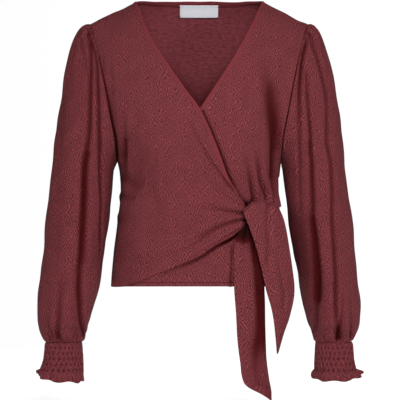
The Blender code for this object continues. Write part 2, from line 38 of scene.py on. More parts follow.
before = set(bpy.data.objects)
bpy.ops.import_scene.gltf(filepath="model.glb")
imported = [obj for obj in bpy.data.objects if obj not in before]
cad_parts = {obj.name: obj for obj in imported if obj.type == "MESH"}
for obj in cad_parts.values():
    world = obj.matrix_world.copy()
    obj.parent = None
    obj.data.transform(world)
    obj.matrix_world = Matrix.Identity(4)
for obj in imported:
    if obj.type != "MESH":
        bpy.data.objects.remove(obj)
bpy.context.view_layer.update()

import math

import bpy
import numpy as np
from bpy.props import FloatProperty, FloatVectorProperty, IntProperty, PointerProperty
from mathutils import Vector

MM = 0.001
SIDES = {"right": -1, "left": 1}    # the wearer's right is at -X

# ---------------------------------------------------------------- the cut, as in the frame

NECK_HALF = 109.0
SHOULDER_SLOPE = 0.49
SHOULDER_TIP = 186.0
FRONT_ROUND = 195.0
BACK_ROUND = 150.0
SIDE_POWER = 2.3
TORSO = (
    # height, half width, front depth, back depth
    (70, 206, 96, 88), (0, 204, 99, 91), (-60, 201, 104, 96), (-110, 195, 109, 100),
    (-160, 186, 113, 101), (-205, 171, 114, 100), (-240, 154, 112, 97), (-274, 140, 108, 94),
    (-322, 134.5, 98, 88), (-370, 139, 98, 91), (-430, 146.5, 103, 97), (-487, 151, 106, 101),
    (-500, 151.5, 106, 101),
)
HEM = -487.0
HEM_LIFT = 3.0
BACK_NECK = 2.5
ARMHOLE_TOP = -(SHOULDER_TIP - NECK_HALF) * SHOULDER_SLOPE
ARMHOLE_FOOT = -274.0
ARMHOLE = (
    # height, distance from the centre
    (-30, 188), (-65, 177.5), (-104, 168), (-148, 158.5), (-194, 150), (-235, 142.5), (-274, 140),
)
NECK_EDGE_OVER = (
    # sideways, height
    (-109, 0), (-99, -23), (-86, -57), (-62, -97), (-27, -148.5), (1, -187),
    (9.5, -204), (18, -222.5), (26.5, -243), (36, -268), (46.5, -298), (60, -325), (73, -347),
)
NECK_EDGE_UNDER = (
    (109, 0), (92, -37), (61, -95.5), (27, -148.5), (3.5, -184), (-27, -226), (-60, -268),
    (-93, -310), (-120, -350),
)
KNOT_END_OVER = ((73, -347), (79, -364), (80, -380))
LOWER_EDGE_OVER = (
    (80, -380), (68, -388.5), (53, -401), (30, -413.5), (1, -433), (-40, -451), (-75, -466),
    (-108, -479), (-130, -485.5), (-151, -487),
)
HIDDEN_EDGE_UNDER = ((-120, -350), (-131, -400), (-141, -486))
WRAP_STEP = 2.0
WRAP_HEIGHTS = (-25, -130)
OVER_ANGLES = (-85, -30)
UNDER_ANGLES = (80, 45)
HIDDEN_STEP = 2.5
HIDDEN_ANGLES = (-20, -70)
KNOT_STANDOFF = 15.0
KNOT_CENTRE = (80.0, -366.0)
KNOT_REACH = 62.0
KNOT_DIVE = (13.0, 66, 82, 26)      # depth, from and to sideways, half height: into the knot

SLEEVES = {
    "right": (
        # height, outer side, inner side, centre depth, half depth
        (-289, 252.5, 145, 0, 57), (-340, 258, 150.5, -2, 57), (-382, 262.5, 154.5, -4, 57),
        (-425, 266.5, 161.5, -6, 56), (-476, 273, 169, -8, 54), (-511, 276, 177.5, -10, 52),
        (-537, 276.5, 184.5, -11, 49), (-552, 274.5, 189.5, -12, 44), (-563, 271, 193, -12, 37),
        (-574, 265, 197, -12, 30), (-581, 262, 200, -12, 27),
    ),
    "left": (
        (-289, 251.5, 143, 0, 57), (-340, 258, 149.5, -2, 57), (-382, 262.5, 154, -4, 57),
        (-425, 266.5, 160, -6, 56), (-476, 271.5, 170.5, -8, 54), (-511, 275, 177.5, -10, 52),
        (-537, 275.5, 184, -11, 49), (-552, 274, 188.5, -12, 44), (-563, 270.5, 192, -12, 37),
        (-574, 264.5, 196.5, -12, 30), (-581, 261.5, 199, -12, 27),
    ),
}
CUFFS = {
    "right": (
        # height, outer side, inner side, half depth: down to the last elastic thread
        (-581, 262, 200, 27), (-602, 264, 199, 27), (-616, 266.5, 198.5, 28), (-628, 271, 198, 30),
    ),
    "left": (
        (-581, 261.5, 199, 27), (-602, 263.5, 198.5, 27), (-616, 265, 198, 28),
        (-628, 268, 197.5, 30),
    ),
}
RUFFLES = {
    # outer and inner side: how far its edge flares, and how far it drops; front: drop
    "right": (6, 2, 1, 14, 20), "left": (12, 4, 6, 7, 19),
}
CUFF_DEPTH = -12.0
CAP_RISE = 1.82
CAP_SPREAD = 0.7
CAP_ROUND = 0.9

TIE_WIDE = (
    # height at the left and right edge, sideways left and right, depth left and right
    (-350, -349, 77, 133, -92, -66), (-346, -345, 74, 135, -103, -76),
    (-353, -351, 74, 136.5, -113, -86), (-366, -364, 77.5, 141, -115, -89),
    (-390, -388, 86.5, 147, -115, -88), (-425, -420, 97.5, 153, -114, -87),
    (-465, -458, 107, 158, -113, -85), (-490, -482, 112.5, 161, -112, -84),
    (-516, -506, 120.5, 160, -111, -84), (-541, -536, 125, 152.5, -109, -88),
    (-570, -566, 128, 142.5, -107, -94), (-597, -595, 130, 133.5, -104, -100),
)
TIE_LONG = (
    (-379, -379, 74, 92, -97, -95), (-392, -390, 66, 100, -98, -94),
    (-412, -410, 60, 107, -100, -94), (-450, -450, 59, 109, -102, -95),
    (-487, -487, 59, 110, -104, -97), (-530, -530, 62, 111, -105, -97),
    (-575, -575, 64.5, 112, -105, -97), (-612, -612, 69, 114, -105, -97),
    (-638, -640, 72.5, 117.5, -105, -97), (-644, -662, 74.5, 121.5, -104, -98),
    (-668, -676, 110, 122, -99, -97),
)
KNOT_PATH = (
    # sideways, depth, height, half thickness, half height
    (82, -96, -365.5, 5, 9), (88, -98, -366, 9, 11.5), (95, -93.5, -365.5, 10, 12),
    (108, -84, -364, 8.5, 11), (120, -73, -363, 6, 9),
)

# ---------------------------------------------------------------- creases
# Each crease is a soft trough along a line, with a ridge beside it on one side.

CREASES_OVER = (
    # depth and half width, each at start and end, ridge share, points (sideways, height)
    (6.0, 1.2, 2.4, 6, 0.5,
     ((80, -364), (70, -362), (52, -359.5), (31, -355), (10, -351.5), (-18, -349))),
    (6.5, 1.2, 2.4, 7, 0.5,
     ((81, -373), (70, -373.5), (52, -377.5), (28, -386.5), (-11, -409.5), (-45, -425))),
    (4.0, 0.6, 2.6, 6, 0.4, ((74, -384), (58, -394), (8, -426), (-36, -448), (-75, -464))),
    (5.4, 1.8, 2.2, 3.6, -0.6,
     ((76, -350), (61, -328.5), (40, -302), (17, -270.5), (0, -241), (-18, -206))),
    (2.6, 0.3, 3, 7, 0.5, ((74, -356), (48, -336), (22, -312), (-8, -282), (-30, -250))),
    (1.8, 0.3, 3, 8, 0.4, ((73, -367), (46, -366), (12, -369), (-20, -376))),
    (2.0, 0.4, 3, 7, 0.4, ((72, -380), (50, -389), (22, -406), (-10, -424))),
    (2.2, 0.6, 7, 9, 0.4, ((-139, -300), (-112, -314), (-84, -322))),
    (2.4, 0.6, 7, 9, 0.4, ((-138, -330), (-108, -340), (-70, -360))),
    (1.8, 0.5, 7, 10, 0.4, ((-142, -372), (-112, -384), (-78, -408))),
    (1.6, 1.6, 5, 4, 0.4,
     ((-137, -262), (-139, -240), (-146, -204), (-147, -170), (-147, -135), (-150, -108))),
    (1.2, 6.5, 5, 4.5, 0.3,
     ((-130, -304), (-130, -288), (-130, -272), (-128.5, -256), (-127.5, -240))),
    (3.4, 1.4, 4.5, 5, 0.3, ((-127, -229), (-126, -212), (-125, -200))),
    (2.0, 0.4, 9, 14, 0.4, ((-128, -262), (-108, -226), (-84, -186))),
)
CREASES_UNDER = (
    # the first two run beside the over front's edges, which press into this front
    (6.0, 9.0, 2.0, 2.4, 0,
     ((5, -190), (13, -206), (22, -226), (31, -247), (41, -273), (52, -303), (64, -327),
      (80, -348))),
    (12.0, 1.5, 3.5, 2.0, 0,
     ((82, -388), (69, -392), (54, -404), (31, -416.5), (2, -436), (-39, -454), (-74, -469))),
    (11.0, 1.2, 3.0, 5, 0.6,
     ((116, -352), (115, -328), (109, -313), (104, -290), (100, -268), (96, -245))),
    (10.5, 1.2, 3.0, 5, 0.6, ((96, -354), (93, -327), (89, -308), (85, -286), (81, -262))),
    (9.0, 1.5, 2.8, 5, 0.6, ((129, -352), (129, -325), (129, -295), (127, -256))),
    (4.0, 0.6, 2.4, 5, 0.6, ((106, -352), (103, -334), (97, -316))),
    (3.4, 0.8, 2.4, 5, 0.6, ((138, -352), (137, -330), (136, -300))),
    (2.2, 0.4, 2.2, 4, 0.6, ((123, -352), (121, -338), (118, -318))),
    (4.5, 2.6, 5, 12, 0.4,
     ((127, -300), (128, -271), (130, -238), (133, -204), (131, -170), (129, -150))),
    (5.0, 5.0, 2.5, 2.5, 0, ((58, -420), (55, -450), (54, -480))),
    (2.4, 0.6, 9, 13, 0.4, ((139, -250), (141, -215), (147, -170), (157, -120))),
    (3.0, 0.5, 4, 9, 0.5, ((90, -388), (60, -412), (20, -434), (-25, -447))),
    (3.0, 1.0, 5, 10, 0.5, ((120, -384), (126, -420), (124, -470))),
    (2.4, 0.6, 4, 8, 0.5, ((86, -388), (72, -430), (60, -478))),
)
# Broad swells and hollows: height, middle (sideways, height), half length, half width, and the
# slope in degrees of the long way
SWELLS_OVER = (
    (-7.5, -100, -352, 92, 34, 96), (-5.0, -22, -398, 66, 22, 23), (3.0, -55, -205, 70, 48, 125),
    (2.0, 20, -300, 70, 22, 122), (-2.5, -128, -440, 60, 22, 90),
)
SWELLS_UNDER = (
    (3.0, 62, -200, 60, 42, 60), (-13.0, 83, -350, 11, 7, 0), (-12.0, 76, -396, 10, 8, 30),
    (-6.5, 123, -190, 75, 13, 97),
)
CREASES_BACK = (
    (5.6, 1.4, 7, 12, 0.5, ((138, -330), (96, -338), (40, -352), (-8, -356))),
    (5.0, 1.2, 7, 11, 0.5, ((138, -354), (104, -368), (64, -392), (30, -402))),
    (3.8, 0.8, 8, 12, 0.4, ((137, -300), (108, -296), (62, -308), (22, -322))),
    (5.0, 1.0, 7, 11, 0.5, ((-137, -318), (-98, -324), (-48, -336), (-14, -340))),
    (4.4, 0.8, 7, 12, 0.5, ((-139, -352), (-104, -362), (-64, -374), (-34, -378))),
    (3.4, 0.8, 7, 12, 0.4, ((-136, -288), (-102, -278), (-70, -284))),
    (5.4, 1.4, 8, 14, 0.5, ((136, -262), (126, -214), (120, -160), (124, -106))),
    (5.4, 1.4, 8, 14, 0.5, ((-136, -262), (-126, -214), (-120, -160), (-125, -100))),
    (3.6, 0.8, 10, 15, 0.4, ((98, -272), (86, -228), (80, -180))),
    (3.8, 0.8, 10, 15, 0.4, ((-94, -264), (-80, -214), (-76, -166))),
    (3.2, 1.0, 10, 15, 0.4, ((34, -486), (30, -446), (36, -404))),
    (3.4, 1.0, 10, 15, 0.4, ((-58, -486), (-54, -450), (-60, -410))),
    (3.0, 0.8, 10, 15, 0.4, ((92, -486), (88, -452), (92, -420))),
)
# Sleeves: the same columns for the front and back half; sideways is the way from the centre
CREASES_SLEEVE = {
    ("right", "front"): (
        (4.4, 6.4, 3.5, 7, 0.1,
         ((187, -46), (186, -80), (185, -110), (185, -170), (187, -204), (189, -238), (193, -271),
          (194.5, -305), (196, -339), (196.5, -373), (198, -406), (201.5, -457), (202, -490),
          (200, -524), (198, -550), (197, -577))),
        (3.6, 2.6, 6, 8, 0,
         ((188.5, -262), (191, -305), (192.5, -339), (193, -373), (193.5, -406), (193.5, -440))),
        (4.4, 5.8, 3, 4.2, 0.1,
         ((176, -62), (173, -106), (172, -137), (171, -170), (170, -204), (168.5, -238),
          (166.5, -271), (166, -305), (165.5, -339), (165.5, -373), (166, -430))),
        (1.5, 6.0, 7, 4, 0.5, ((234, -470), (236, -500), (238, -541), (239.5, -577))),
        (0.6, 2.5, 5, 3.5, 0.5, ((209, -520), (209, -550), (208, -577))),
        (2.2, 1.0, 3, 4, 0.5, ((204, -52), (201, -75), (196, -103), (193, -125))),
        (1.4, 0.4, 3, 6, 0.5, ((204, -48), (213, -80), (220, -130))),
        (0.6, 3.0, 6, 4, 0.4, ((254, -500), (255, -545), (251, -578))),
        (1.6, 0.8, 12, 14, 0.4, ((232, -170), (236, -260), (238, -360), (236, -440))),
    ),
    ("right", "back"): (
        (3.6, 5.6, 5, 8, 0.5,
         ((186, -50), (190, -110), (196, -200), (204, -300), (212, -420), (218, -520),
          (220, -577))),
        (2.6, 4.4, 5, 7, 0.5,
         ((204, -60), (216, -130), (228, -240), (236, -380), (242, -500), (244, -577))),
        (0.6, 3.0, 8, 5, 0.5, ((194, -440), (204, -500), (208, -577))),
        (3.2, 0.8, 6, 9, 0.4, ((150, -280), (180, -300), (214, -312))),
        (3.0, 0.8, 6, 9, 0.4, ((156, -350), (186, -366), (216, -372))),
    ),
    ("left", "front"): (
        (3.0, 5.5, 3, 3.2, -0.1,
         ((183, -125), (184, -137), (185.5, -170), (187.5, -204), (188.8, -230))),
        (6.0, 3.4, 3.4, 8, -0.15,
         ((189, -236), (189.5, -254), (190, -271), (191, -305), (190.5, -339), (192, -373),
          (195, -406), (200, -457), (199, -490), (197, -524), (195, -560))),
        (2.0, 5.0, 7, 9, 0, ((191, -373), (195, -406), (198, -440), (200, -470), (199, -505))),
        (7.0, 1.0, 3.2, 4, 0.1,
         ((174, -60), (174, -103), (173, -137), (170, -170), (169.5, -204), (168.5, -238),
          (169.5, -271), (168.5, -305), (170, -339), (171, -360))),
        (3.4, 5.4, 5.5, 4.5, 0.3,
         ((187, -50), (194, -75), (202, -103), (211, -137), (218, -170), (220, -204), (220, -238),
          (223, -271), (225, -305), (226, -339), (226, -373), (228, -406), (231, -457),
          (231, -490), (232, -524), (233, -549), (234, -577))),
        (1.0, 6.5, 4, 4, 0.5, ((244, -500), (243, -524), (239, -549), (238, -577))),
        (0.8, 5.0, 5, 3.5, 0.5, ((257, -510), (258, -545), (257, -577))),
        (1.6, 0.4, 3, 6, 0.5, ((201, -44), (211, -78), (219, -126))),
        (0.8, 0.4, 12, 14, 0.4, ((236, -180), (240, -260), (243, -350), (243, -430))),
    ),
    ("left", "back"): (
        (3.6, 5.6, 5, 8, 0.5,
         ((188, -50), (192, -120), (198, -210), (206, -310), (213, -420), (219, -520),
          (222, -577))),
        (2.6, 4.4, 5, 7, 0.5,
         ((206, -62), (218, -140), (229, -250), (237, -380), (243, -500), (246, -577))),
        (0.6, 3.0, 8, 5, 0.5, ((193, -440), (202, -505), (206, -577))),
        (3.2, 0.8, 6, 9, 0.4, ((149, -290), (178, -306), (212, -320))),
        (2.8, 0.8, 6, 9, 0.4, ((155, -365), (184, -378), (214, -386))),
    ),
}
# Ties: the points are a share across and a length down from the top
CREASES_WIDE = (
    (3.5, 3.0, 4.5, 4.0, 0.4,
     ((0.68, 8), (0.66, 24), (0.55, 40), (0.49, 57), (0.42, 74), (0.36, 91), (0.26, 108),
      (0.18, 122))),
    (0.8, 3.2, 4.0, 4.5, 0.4,
     ((0.62, 95), (0.58, 110), (0.56, 125), (0.56, 142), (0.55, 158), (0.58, 175), (0.52, 200))),
    (1.2, 0.3, 2.8, 5, 0.5, ((0.36, 6), (0.3, 25), (0.22, 50))),
)
CREASES_LONG = (
    (3.0, 2.0, 4.0, 7.0, 0.4,
     ((0.66, 2), (0.7, 60), (0.76, 130), (0.68, 190), (0.52, 245), (0.45, 270))),
    (2.4, 0.4, 2.4, 6, 0.5, ((0.34, 2), (0.29, 40), (0.25, 95))),
    (1.6, 0.6, 4, 7, 0.4, ((0.4, 130), (0.46, 190), (0.44, 240))),
)

# ---------------------------------------------------------------- fineness and cloth walls

ARM_STEPS = 96
SIDE_STEPS = 96
EDGE_STEPS = 136
EDGE_CROWD = 0.35               # how much closer together the steps get at the shoulder
UNDER_EDGE_STEPS = 96           # of the under front's edge down to where the other covers it
OVER_COLUMNS = 150
OVER_CROWD = 0.5                # how much closer together those get by the knot
UNDER_COLUMNS = 140
SHOULDER_COLUMNS = 34
BACK_NECK_COLUMNS = 96
CAP_STEPS = 70
SLEEVE_RINGS = 130
CUFF_ROWS = 64
RUFFLE_ROWS = 26
CUFF_COLUMNS = 264
TIE_ROWS = 150
TIE_COLUMNS = 48
KNOT_RINGS = 40
KNOT_COLUMNS = 64

SEAM_TURN = 2.6                 # a sewn edge turns in this deep
SEAM_SOFT = 0.7                 # and its shoulder rounds off by this much
PANEL_FADE = 16.0               # a panel's folds fade out over this much beside a seam
WAVE_SHARE = 0.8                # slow unevenness of the panels and ties, next to the sleeves'
SHADED_SWELL = 0.35             # share of a broad hollow that is painted with fold shade
RIDGE_BELL = (1.3, 1.9)         # half width and place of a crease's ridge, in its half widths
SLEEVE_SEAM = (0.9, 2.0)        # depth and half width of the dip along it
CAP_GATHERS = (26, 2.5, 3)      # count, sway and sways of a ripple round a ring
CAP_REACH = (16.0, 8.0)         # half length of those gathers, and their middle from the seam
FOOT_GATHERS = (23, 1.8, 5)     # the same at the cuff's seam
FOOT_REACH = (15.0, 5.0)
FOOT_HEIGHT = 1.5
PUFFS = (17, 1.9, 5)            # of a cuff between its elastic threads
PUFF_HEIGHT = 0.7               # how far it stands out there, and how uneven that is
PUCKER_DEPTH = 2.2
RUFFLE_CRINKLE = (26, 2, 3)
CRINKLE_HEIGHT = 0.9
RUFFLE_WAVE = (1.6, 1.2)        # out and down, at the edge
RUFFLE_FRONT_FLARE = 6.0
CUFF_GIRTH = 260.0              # round the cuff, cut flat
CUFF_HALVES = (31.0, 27.0)      # half width and half depth where it joins the sleeve
TIE_PLY = 1.3                   # thickness of a tie, in layers of cloth
TIE_INSIDE = (60.0, 0.0, -500.0)        # a place behind both ties
KNOT_CRIMPS = ((0.07, 7, 1), (0.05, 11, 0))     # share of the radius, count and phase round it
BINDING_PROFILE = (
    # in from the edge as a share of the width, out from the panel in mm
    (-0.20, 0.0), (-0.16, 0.9), (-0.02, 1.5), (0.2, 1.65), (0.42, 1.35), (0.58, 0.75),
    (0.66, 0.7), (0.78, 1.15), (0.92, 1.0), (1.0, 0.3), (1.0, -0.4), (0.8, -1.7),
    (0.4, -1.9), (0.0, -1.7), (-0.16, -0.9),
)

# Painted shade: places that get little light are painted as dark as a fold so deep, in mm, besides
# their own folds
SEAM_SHADE = (12.0, 9.0, 5.0)   # the three rows of a turned edge
SHOULDER_SHADE = 0.3            # share of it at the shoulder seams
TOP_SEAM_SHADE = 0.4            # at the top of the armholes, past these heights
TOP_SEAM_HEIGHTS = (-170, -90)
SIDE_SEAM_SHADE = 0.15          # and at the side seams
CUFF_SHADE = 6.5                # a pucker of the cuffs
RUFFLE_SHADE = 4.5              # a hollow and the edge of the ruffles
BEHIND_NECK_SHADE = 2.2         # the inside just behind the neck's edges
BEHIND_NECK_REACH = 28.0
INSIDE_SHADE = 5.0              # and far below the neck
INSIDE_HEIGHTS = (-190, -60)
SLEEVE_SHADE = 1.6              # a whole sleeve, beside the body
INNER_SHADE = {"right": 0.0, "left": 2.0}       # and what its side next to the body adds
INNER_FADES = ((-400, -320), (-560, -450))      # which fades out above and below
BEHIND_TIE_SHADE = (13.0, 8.0, 12.0)    # long tie: by the knot, beside the wide one, folded back
SEAM_LINE = (
    # height, depth of fold whose painted shade the cloth right beside an armhole's seam gets
    (-296, 0), (-284, 3), (-274, 14), (-262, 14), (-240, 11), (-200, 6), (-130, 2.5), (-60, 0),
)
SEAM_REACH = 3.0                # and how far from the seam it does
FOLD_DEPTHS = ((0.0, 9.0, 1.0), (9.0, 16.0, 0.9))   # painted shade: from, to and share of the two deeper colours
RIB_WAVES = (
    # across, then down: grain of the noise and the shift by it in metres, part of the ribs' turn
    (0.022, 0.013, 0.82), (0.010, 0.008, 0.57),
)
RIB_WANDER = 3.0                # how far the finer noise moves that turn, in radians
RIB_PART = (0.82, -0.385)       # factor of the ribs' height, and what is added to it
GRIT_GRAIN = 0.0026             # of the noise on top, in metres
TONES = (0.3, 0.7, 0.94, 1.05)  # two values of the slow noise, and the brightness at each
STITCH_PRESS = (0.1, 1.0)       # relief is gone and whole so far from a stitched line
EDGE_BAND = 5.0
BACK_BAND = 10.0
LABEL_SIZE = (67.0, 20.0)
LABEL_DROP = 3.0
LABEL_STANDOFF = 3.6            # from the back at its top
LABEL_LEAN = 1.6                # and how much more at its foot
LABEL_CLOTH = 0.0006            # in metres
LABEL_ENDS = 2.5                # width that bends back at its ends
HEM_STITCH = 6.5                # stitched line above the hem
NO_STITCH = 9999.0              # distance of a stitched line from a piece that has none
BROAD_WAVES = (
    # height, across and down in waves a metre, phase: slow unevenness of worn cloth
    (0.7, 9.0, 4.1, 0.3), (0.6, -6.2, 7.3, 1.9), (0.45, 14.5, -5.6, 4.0), (0.35, 11.0, 15.5, 2.6),
    (0.25, -21.0, 12.0, 5.1), (0.2, 27.0, 19.0, 0.9),
)


def hex_colour(text):
    """Linear colour of an sRGB hex value such as 7A3A40."""
    shares = np.array([int(text[i:i + 2], 16) for i in (0, 2, 4)]) / 255
    linear = np.where(shares <= 0.04045, shares / 12.92, ((shares + 0.055) / 1.055) ** 2.4)
    return tuple(float(share) for share in linear)


def length_setting(name, description, value, low, high):
    """Property of a length in metres."""
    return FloatProperty(name=name, description=description, default=value, min=low, max=high,
                         subtype="DISTANCE", unit="LENGTH")


def factor_setting(name, description, value, high):
    """Property of a factor from nothing."""
    return FloatProperty(name=name, description=description, default=value, min=0.0, max=high,
                         subtype="FACTOR")


def count_setting(name, description, value, low, high):
    """Property of a whole number."""
    return IntProperty(name=name, description=description, default=value, min=low, max=high)


def colour_setting(name, description, text):
    """Property of a colour, whose default is a hex value."""
    return FloatVectorProperty(name=name, description=description, default=hex_colour(text),
                               subtype="COLOR", size=3, min=0, max=1)


class WrapTopSizes(bpy.types.PropertyGroup):
    """Sizes of the cloth and strengths of its folds."""

    cloth: length_setting("Cloth", "Thickness of one layer of jersey", 0.0011, 0.0004, 0.003)
    fold_strength: factor_setting("Folds", "Multiplies the depth of every crease", 1.0, 2.0)
    fold_shade: factor_setting("Fold shade", "How deep the colour gets in a deep fold", 1.0, 1.0)
    rib_spacing: length_setting("Rib spacing", "Distance between two zigzag ribs", 0.0034, 0.001,
                                0.02)
    diamond_width: length_setting("Diamond width", "Width of one diamond of the ribs", 0.0165,
                                  0.002, 0.05)
    diamond_height: length_setting("Diamond height", "Height of one diamond of the ribs", 0.0200,
                                   0.002, 0.05)
    relief: length_setting("Relief", "Height of the ribs", 0.0008, 0.0, 0.002)
    shirr_rows: count_setting("Shirring rows", "Elastic threads round each cuff", 5, 1, 20)
    shirr_puckers: count_setting("Puckers", "Puckers round each elastic thread", 25, 4, 60)
    ruffle_waves: count_setting("Ruffle waves", "Waves round the edge below each cuff", 9, 2, 30)


class WrapTopColours(bpy.types.PropertyGroup):
    """Colours of the finishes."""

    # the jersey's own colour, with painted light on the ribs and painted shade in the grooves
    rib: colour_setting("Ribs", "Jersey on top of its ribs", "75363B")
    groove: colour_setting("Grooves", "Jersey between its ribs", "3F1519")
    # painted shade: the colour of deep folds and of other places that get little light
    fold: colour_setting("Deep folds", "Jersey deep in a fold", "380204")
    wrong_side: colour_setting("Wrong side", "Smooth inner face of the jersey", "6F3238")
    binding: colour_setting("Binding", "Turned edge along the neck", "68292E")
    label: colour_setting("Label", "Satin ribbon", "CFD0D6")
    floor: colour_setting("Floor", "Studio floor and backdrop", "FFFFFF")


# ---------------------------------------------------------------- curves and tables

def through(rows, key):
    """All columns of a table at a key: between two rows, the cubic that has their values and the
    slopes of the lines past them."""
    rows = np.asarray(rows, float)
    rows = rows[np.argsort(rows[:, 0])]
    keys, values = rows[:, 0], rows[:, 1:]
    slopes = np.gradient(values, keys, axis=0)
    key = np.clip(np.asarray(key, float), keys[0], keys[-1])
    lower = np.clip(np.searchsorted(keys, key) - 1, 0, len(keys) - 2)
    width = keys[lower + 1] - keys[lower]
    t = ((key - keys[lower]) / width)[..., None]
    width = width[..., None]
    return ((1 + 2 * t) * (1 - t) ** 2 * values[lower] + t * (1 - t) ** 2 * width * slopes[lower]
            + t * t * (3 - 2 * t) * values[lower + 1] + t * t * (t - 1) * width * slopes[lower + 1])


def lengths_along(points):
    """Length of a line of points up to each of them."""
    return np.concatenate(([0], np.cumsum(np.linalg.norm(np.diff(points, axis=0), axis=1))))


def along(rows, share, places=None):
    """All columns at the given shares of the length of a smooth line through a few rows, whose
    first columns are its places."""
    rows = np.asarray(rows, float)
    length = lengths_along(rows[:, :places])
    return through(np.column_stack((length, rows)), np.asarray(share) * length[-1])


def straight(start, end, share):
    """Points at the given shares of a straight line."""
    start, end = np.asarray(start, float), np.asarray(end, float)
    return start + np.asarray(share)[:, None] * (end - start)


def smooth(value, start, end):
    """0 before start, 1 after end, and a soft step between: t squared times (3 - 2t)."""
    t = np.clip((value - start) / (end - start), 0, 1)
    return t * t * (3 - 2 * t)


def bell(value, half, middle=0.0):
    """1 in the middle, falling off as exp(-(value / half) squared) of the value's way from it."""
    return np.exp(-((value - middle) / half) ** 2)


def waves(across, down):
    """Slow unevenness: the sum of the sine waves of a short table over two lengths in mm."""
    height = np.zeros_like(across)
    for high, per_across, per_down, phase in BROAD_WAVES:
        height += high * np.sin(2 * np.pi * MM * (per_across * across + per_down * down) + phase)
    return height


def swells(across, down, rows):
    """Height of broad forms: each is a bell of the place, in half lengths along its slope and half
    widths across it."""
    height = np.zeros(across.shape)
    for high, x, z, half_length, half_width, slope in rows:
        cosine, sine = math.cos(math.radians(slope)), math.sin(math.radians(slope))
        along_it = (across - x) * cosine + (down - z) * sine
        across_it = (down - z) * cosine - (across - x) * sine
        height += high * bell(np.hypot(along_it / half_length, across_it / half_width), 1.0)
    return height


def creases(across, down, rows, strength):
    """Height of creases: at a distance d from a line, in half widths, it is -exp(-d squared) of the
    depth, plus the ridge share times a wider bell beside the line. Depth and half width run evenly
    from the line's start to its end."""
    height = np.zeros(across.shape)
    place = np.stack((across, down), -1)
    for first_depth, last_depth, first_half, last_half, ridge_share, points in rows:
        line = along(points, np.linspace(0, 1, 4 * len(points)))
        near = np.full(across.shape, np.inf)
        share, signed = np.zeros(across.shape), np.zeros(across.shape)
        pieces = len(line) - 1
        for i, (start, end) in enumerate(zip(line[:-1], line[1:])):
            step = end - start
            length = np.linalg.norm(step)
            t = np.clip((place - start) @ step / length ** 2, 0, 1)
            away = place - start - t[..., None] * step
            gap = np.linalg.norm(away, axis=-1)
            side = np.sign(away[..., 0] * step[1] - away[..., 1] * step[0])
            closer = gap < near
            near = np.where(closer, gap, near)
            share = np.where(closer, (i + t) / pieces, share)
            signed = np.where(closer, gap * side, signed)
        depth = strength * (first_depth + share * (last_depth - first_depth))
        half = first_half + share * (last_half - first_half)
        past = np.where((share <= 0) | (share >= 1), 0.0, 1.0)
        lean = signed * np.sign(ridge_share) * past - (1 - past) * near
        height += depth * (abs(ridge_share) * bell(lean / half, *RIDGE_BELL) * past
                           - bell(near, half))
    return height


# ---------------------------------------------------------------- the torso's surface

def ridge(x):
    """Shoulder line: falls at a set slope outside the neck, and is a low parabola inside it."""
    arch = (NECK_HALF ** 2 - x ** 2) / (2 * NECK_HALF)
    return SHOULDER_SLOPE * np.where(np.abs(x) > NECK_HALF, NECK_HALF - np.abs(x), arch)


def torso(angle, z, back=False):
    """Superellipse sections whose half width and depths come from the table; the depth starts at
    nothing on the shoulder line and rises as a quarter circle over a set drop below it."""
    half_width, front_depth, back_depth = np.moveaxis(through(TORSO, z), -1, 0)
    sine, cosine = np.sin(np.radians(angle)), np.cos(np.radians(angle))
    x = half_width * np.sign(sine) * np.abs(sine) ** (2 / SIDE_POWER)
    drop = np.clip((ridge(x) - z) / (BACK_ROUND if back else FRONT_ROUND), 0, 1)
    depth = np.sqrt(1 - (1 - drop) ** 2) * np.abs(cosine) ** (2 / SIDE_POWER)
    y = depth * (back_depth if back else -front_depth)
    return np.stack((x, y, z + 0 * x), axis=-1)


def angle_at(x, z):
    """Angle from the centre at which the torso is this far sideways."""
    half_width = through(TORSO, z)[..., 0]
    share = np.clip(np.abs(x) / half_width, 0, 1)
    return np.sign(x) * np.degrees(np.arcsin(share ** (SIDE_POWER / 2)))


def to_angle(points):
    """(sideways, height) points as (angle, height) points."""
    return np.column_stack((angle_at(points[:, 0], points[:, 1]), points[:, 1]))


def cloth_map(angle, z, back=False):
    """Lengths over the torso in mm, as the cloth was cut: round from the centre line, and up from
    the hem. Each is the sum of short straight steps."""
    share = np.linspace(0, 1, 21)
    round_path = torso(angle[..., None] * share, z[..., None] + 0 * share, back)
    up_path = torso(angle[..., None] + 0 * share, HEM + (z[..., None] - HEM) * share, back)
    lengths = [np.linalg.norm(np.diff(path, axis=-2), axis=-1).sum(-1)
               for path in (round_path, up_path)]
    return np.stack((np.sign(angle) * lengths[0], lengths[1]), -1)


def hem_height(angle):
    """Height of the hem, which lifts a little towards the centre."""
    return HEM + HEM_LIFT * np.cos(np.radians(angle))


def outer_edge(side):
    """Armhole and side seam as angle and height, from the shoulder down; side is -1 or 1."""
    turn = np.linspace(0, np.pi, ARM_STEPS + 1)
    middle, half = (ARMHOLE_TOP + ARMHOLE_FOOT) / 2, (ARMHOLE_TOP - ARMHOLE_FOOT) / 2
    z_arm = middle + half * np.cos(turn)
    x_arm = through(ARMHOLE, z_arm)[..., 0]
    x_arm[0] = SHOULDER_TIP
    angle_arm = angle_at(x_arm, z_arm)
    angle_arm[-1] = 90
    z_side = np.linspace(ARMHOLE_FOOT, HEM, SIDE_STEPS + 1)[1:]
    angle = np.concatenate((angle_arm, np.full(SIDE_STEPS, 90.0)))
    return np.column_stack((side * angle, np.concatenate((z_arm, z_side))))


def patch(top, foot, left, right, columns=None):
    """Grid between four edge lines: the two ruled surfaces less the one through the corners.
    columns are the shares of the way from left to right."""
    u = (np.linspace(0, 1, len(top)) if columns is None else columns)[None, :, None]
    v = np.linspace(0, 1, len(left))[:, None, None]
    across = (1 - u) * left[:, None] + u * right[:, None]
    down = (1 - v) * top[None] + v * foot[None]
    corners = ((1 - u) * (1 - v) * top[0] + u * (1 - v) * top[-1]
               + (1 - u) * v * foot[0] + u * v * foot[-1])
    return across + down - corners


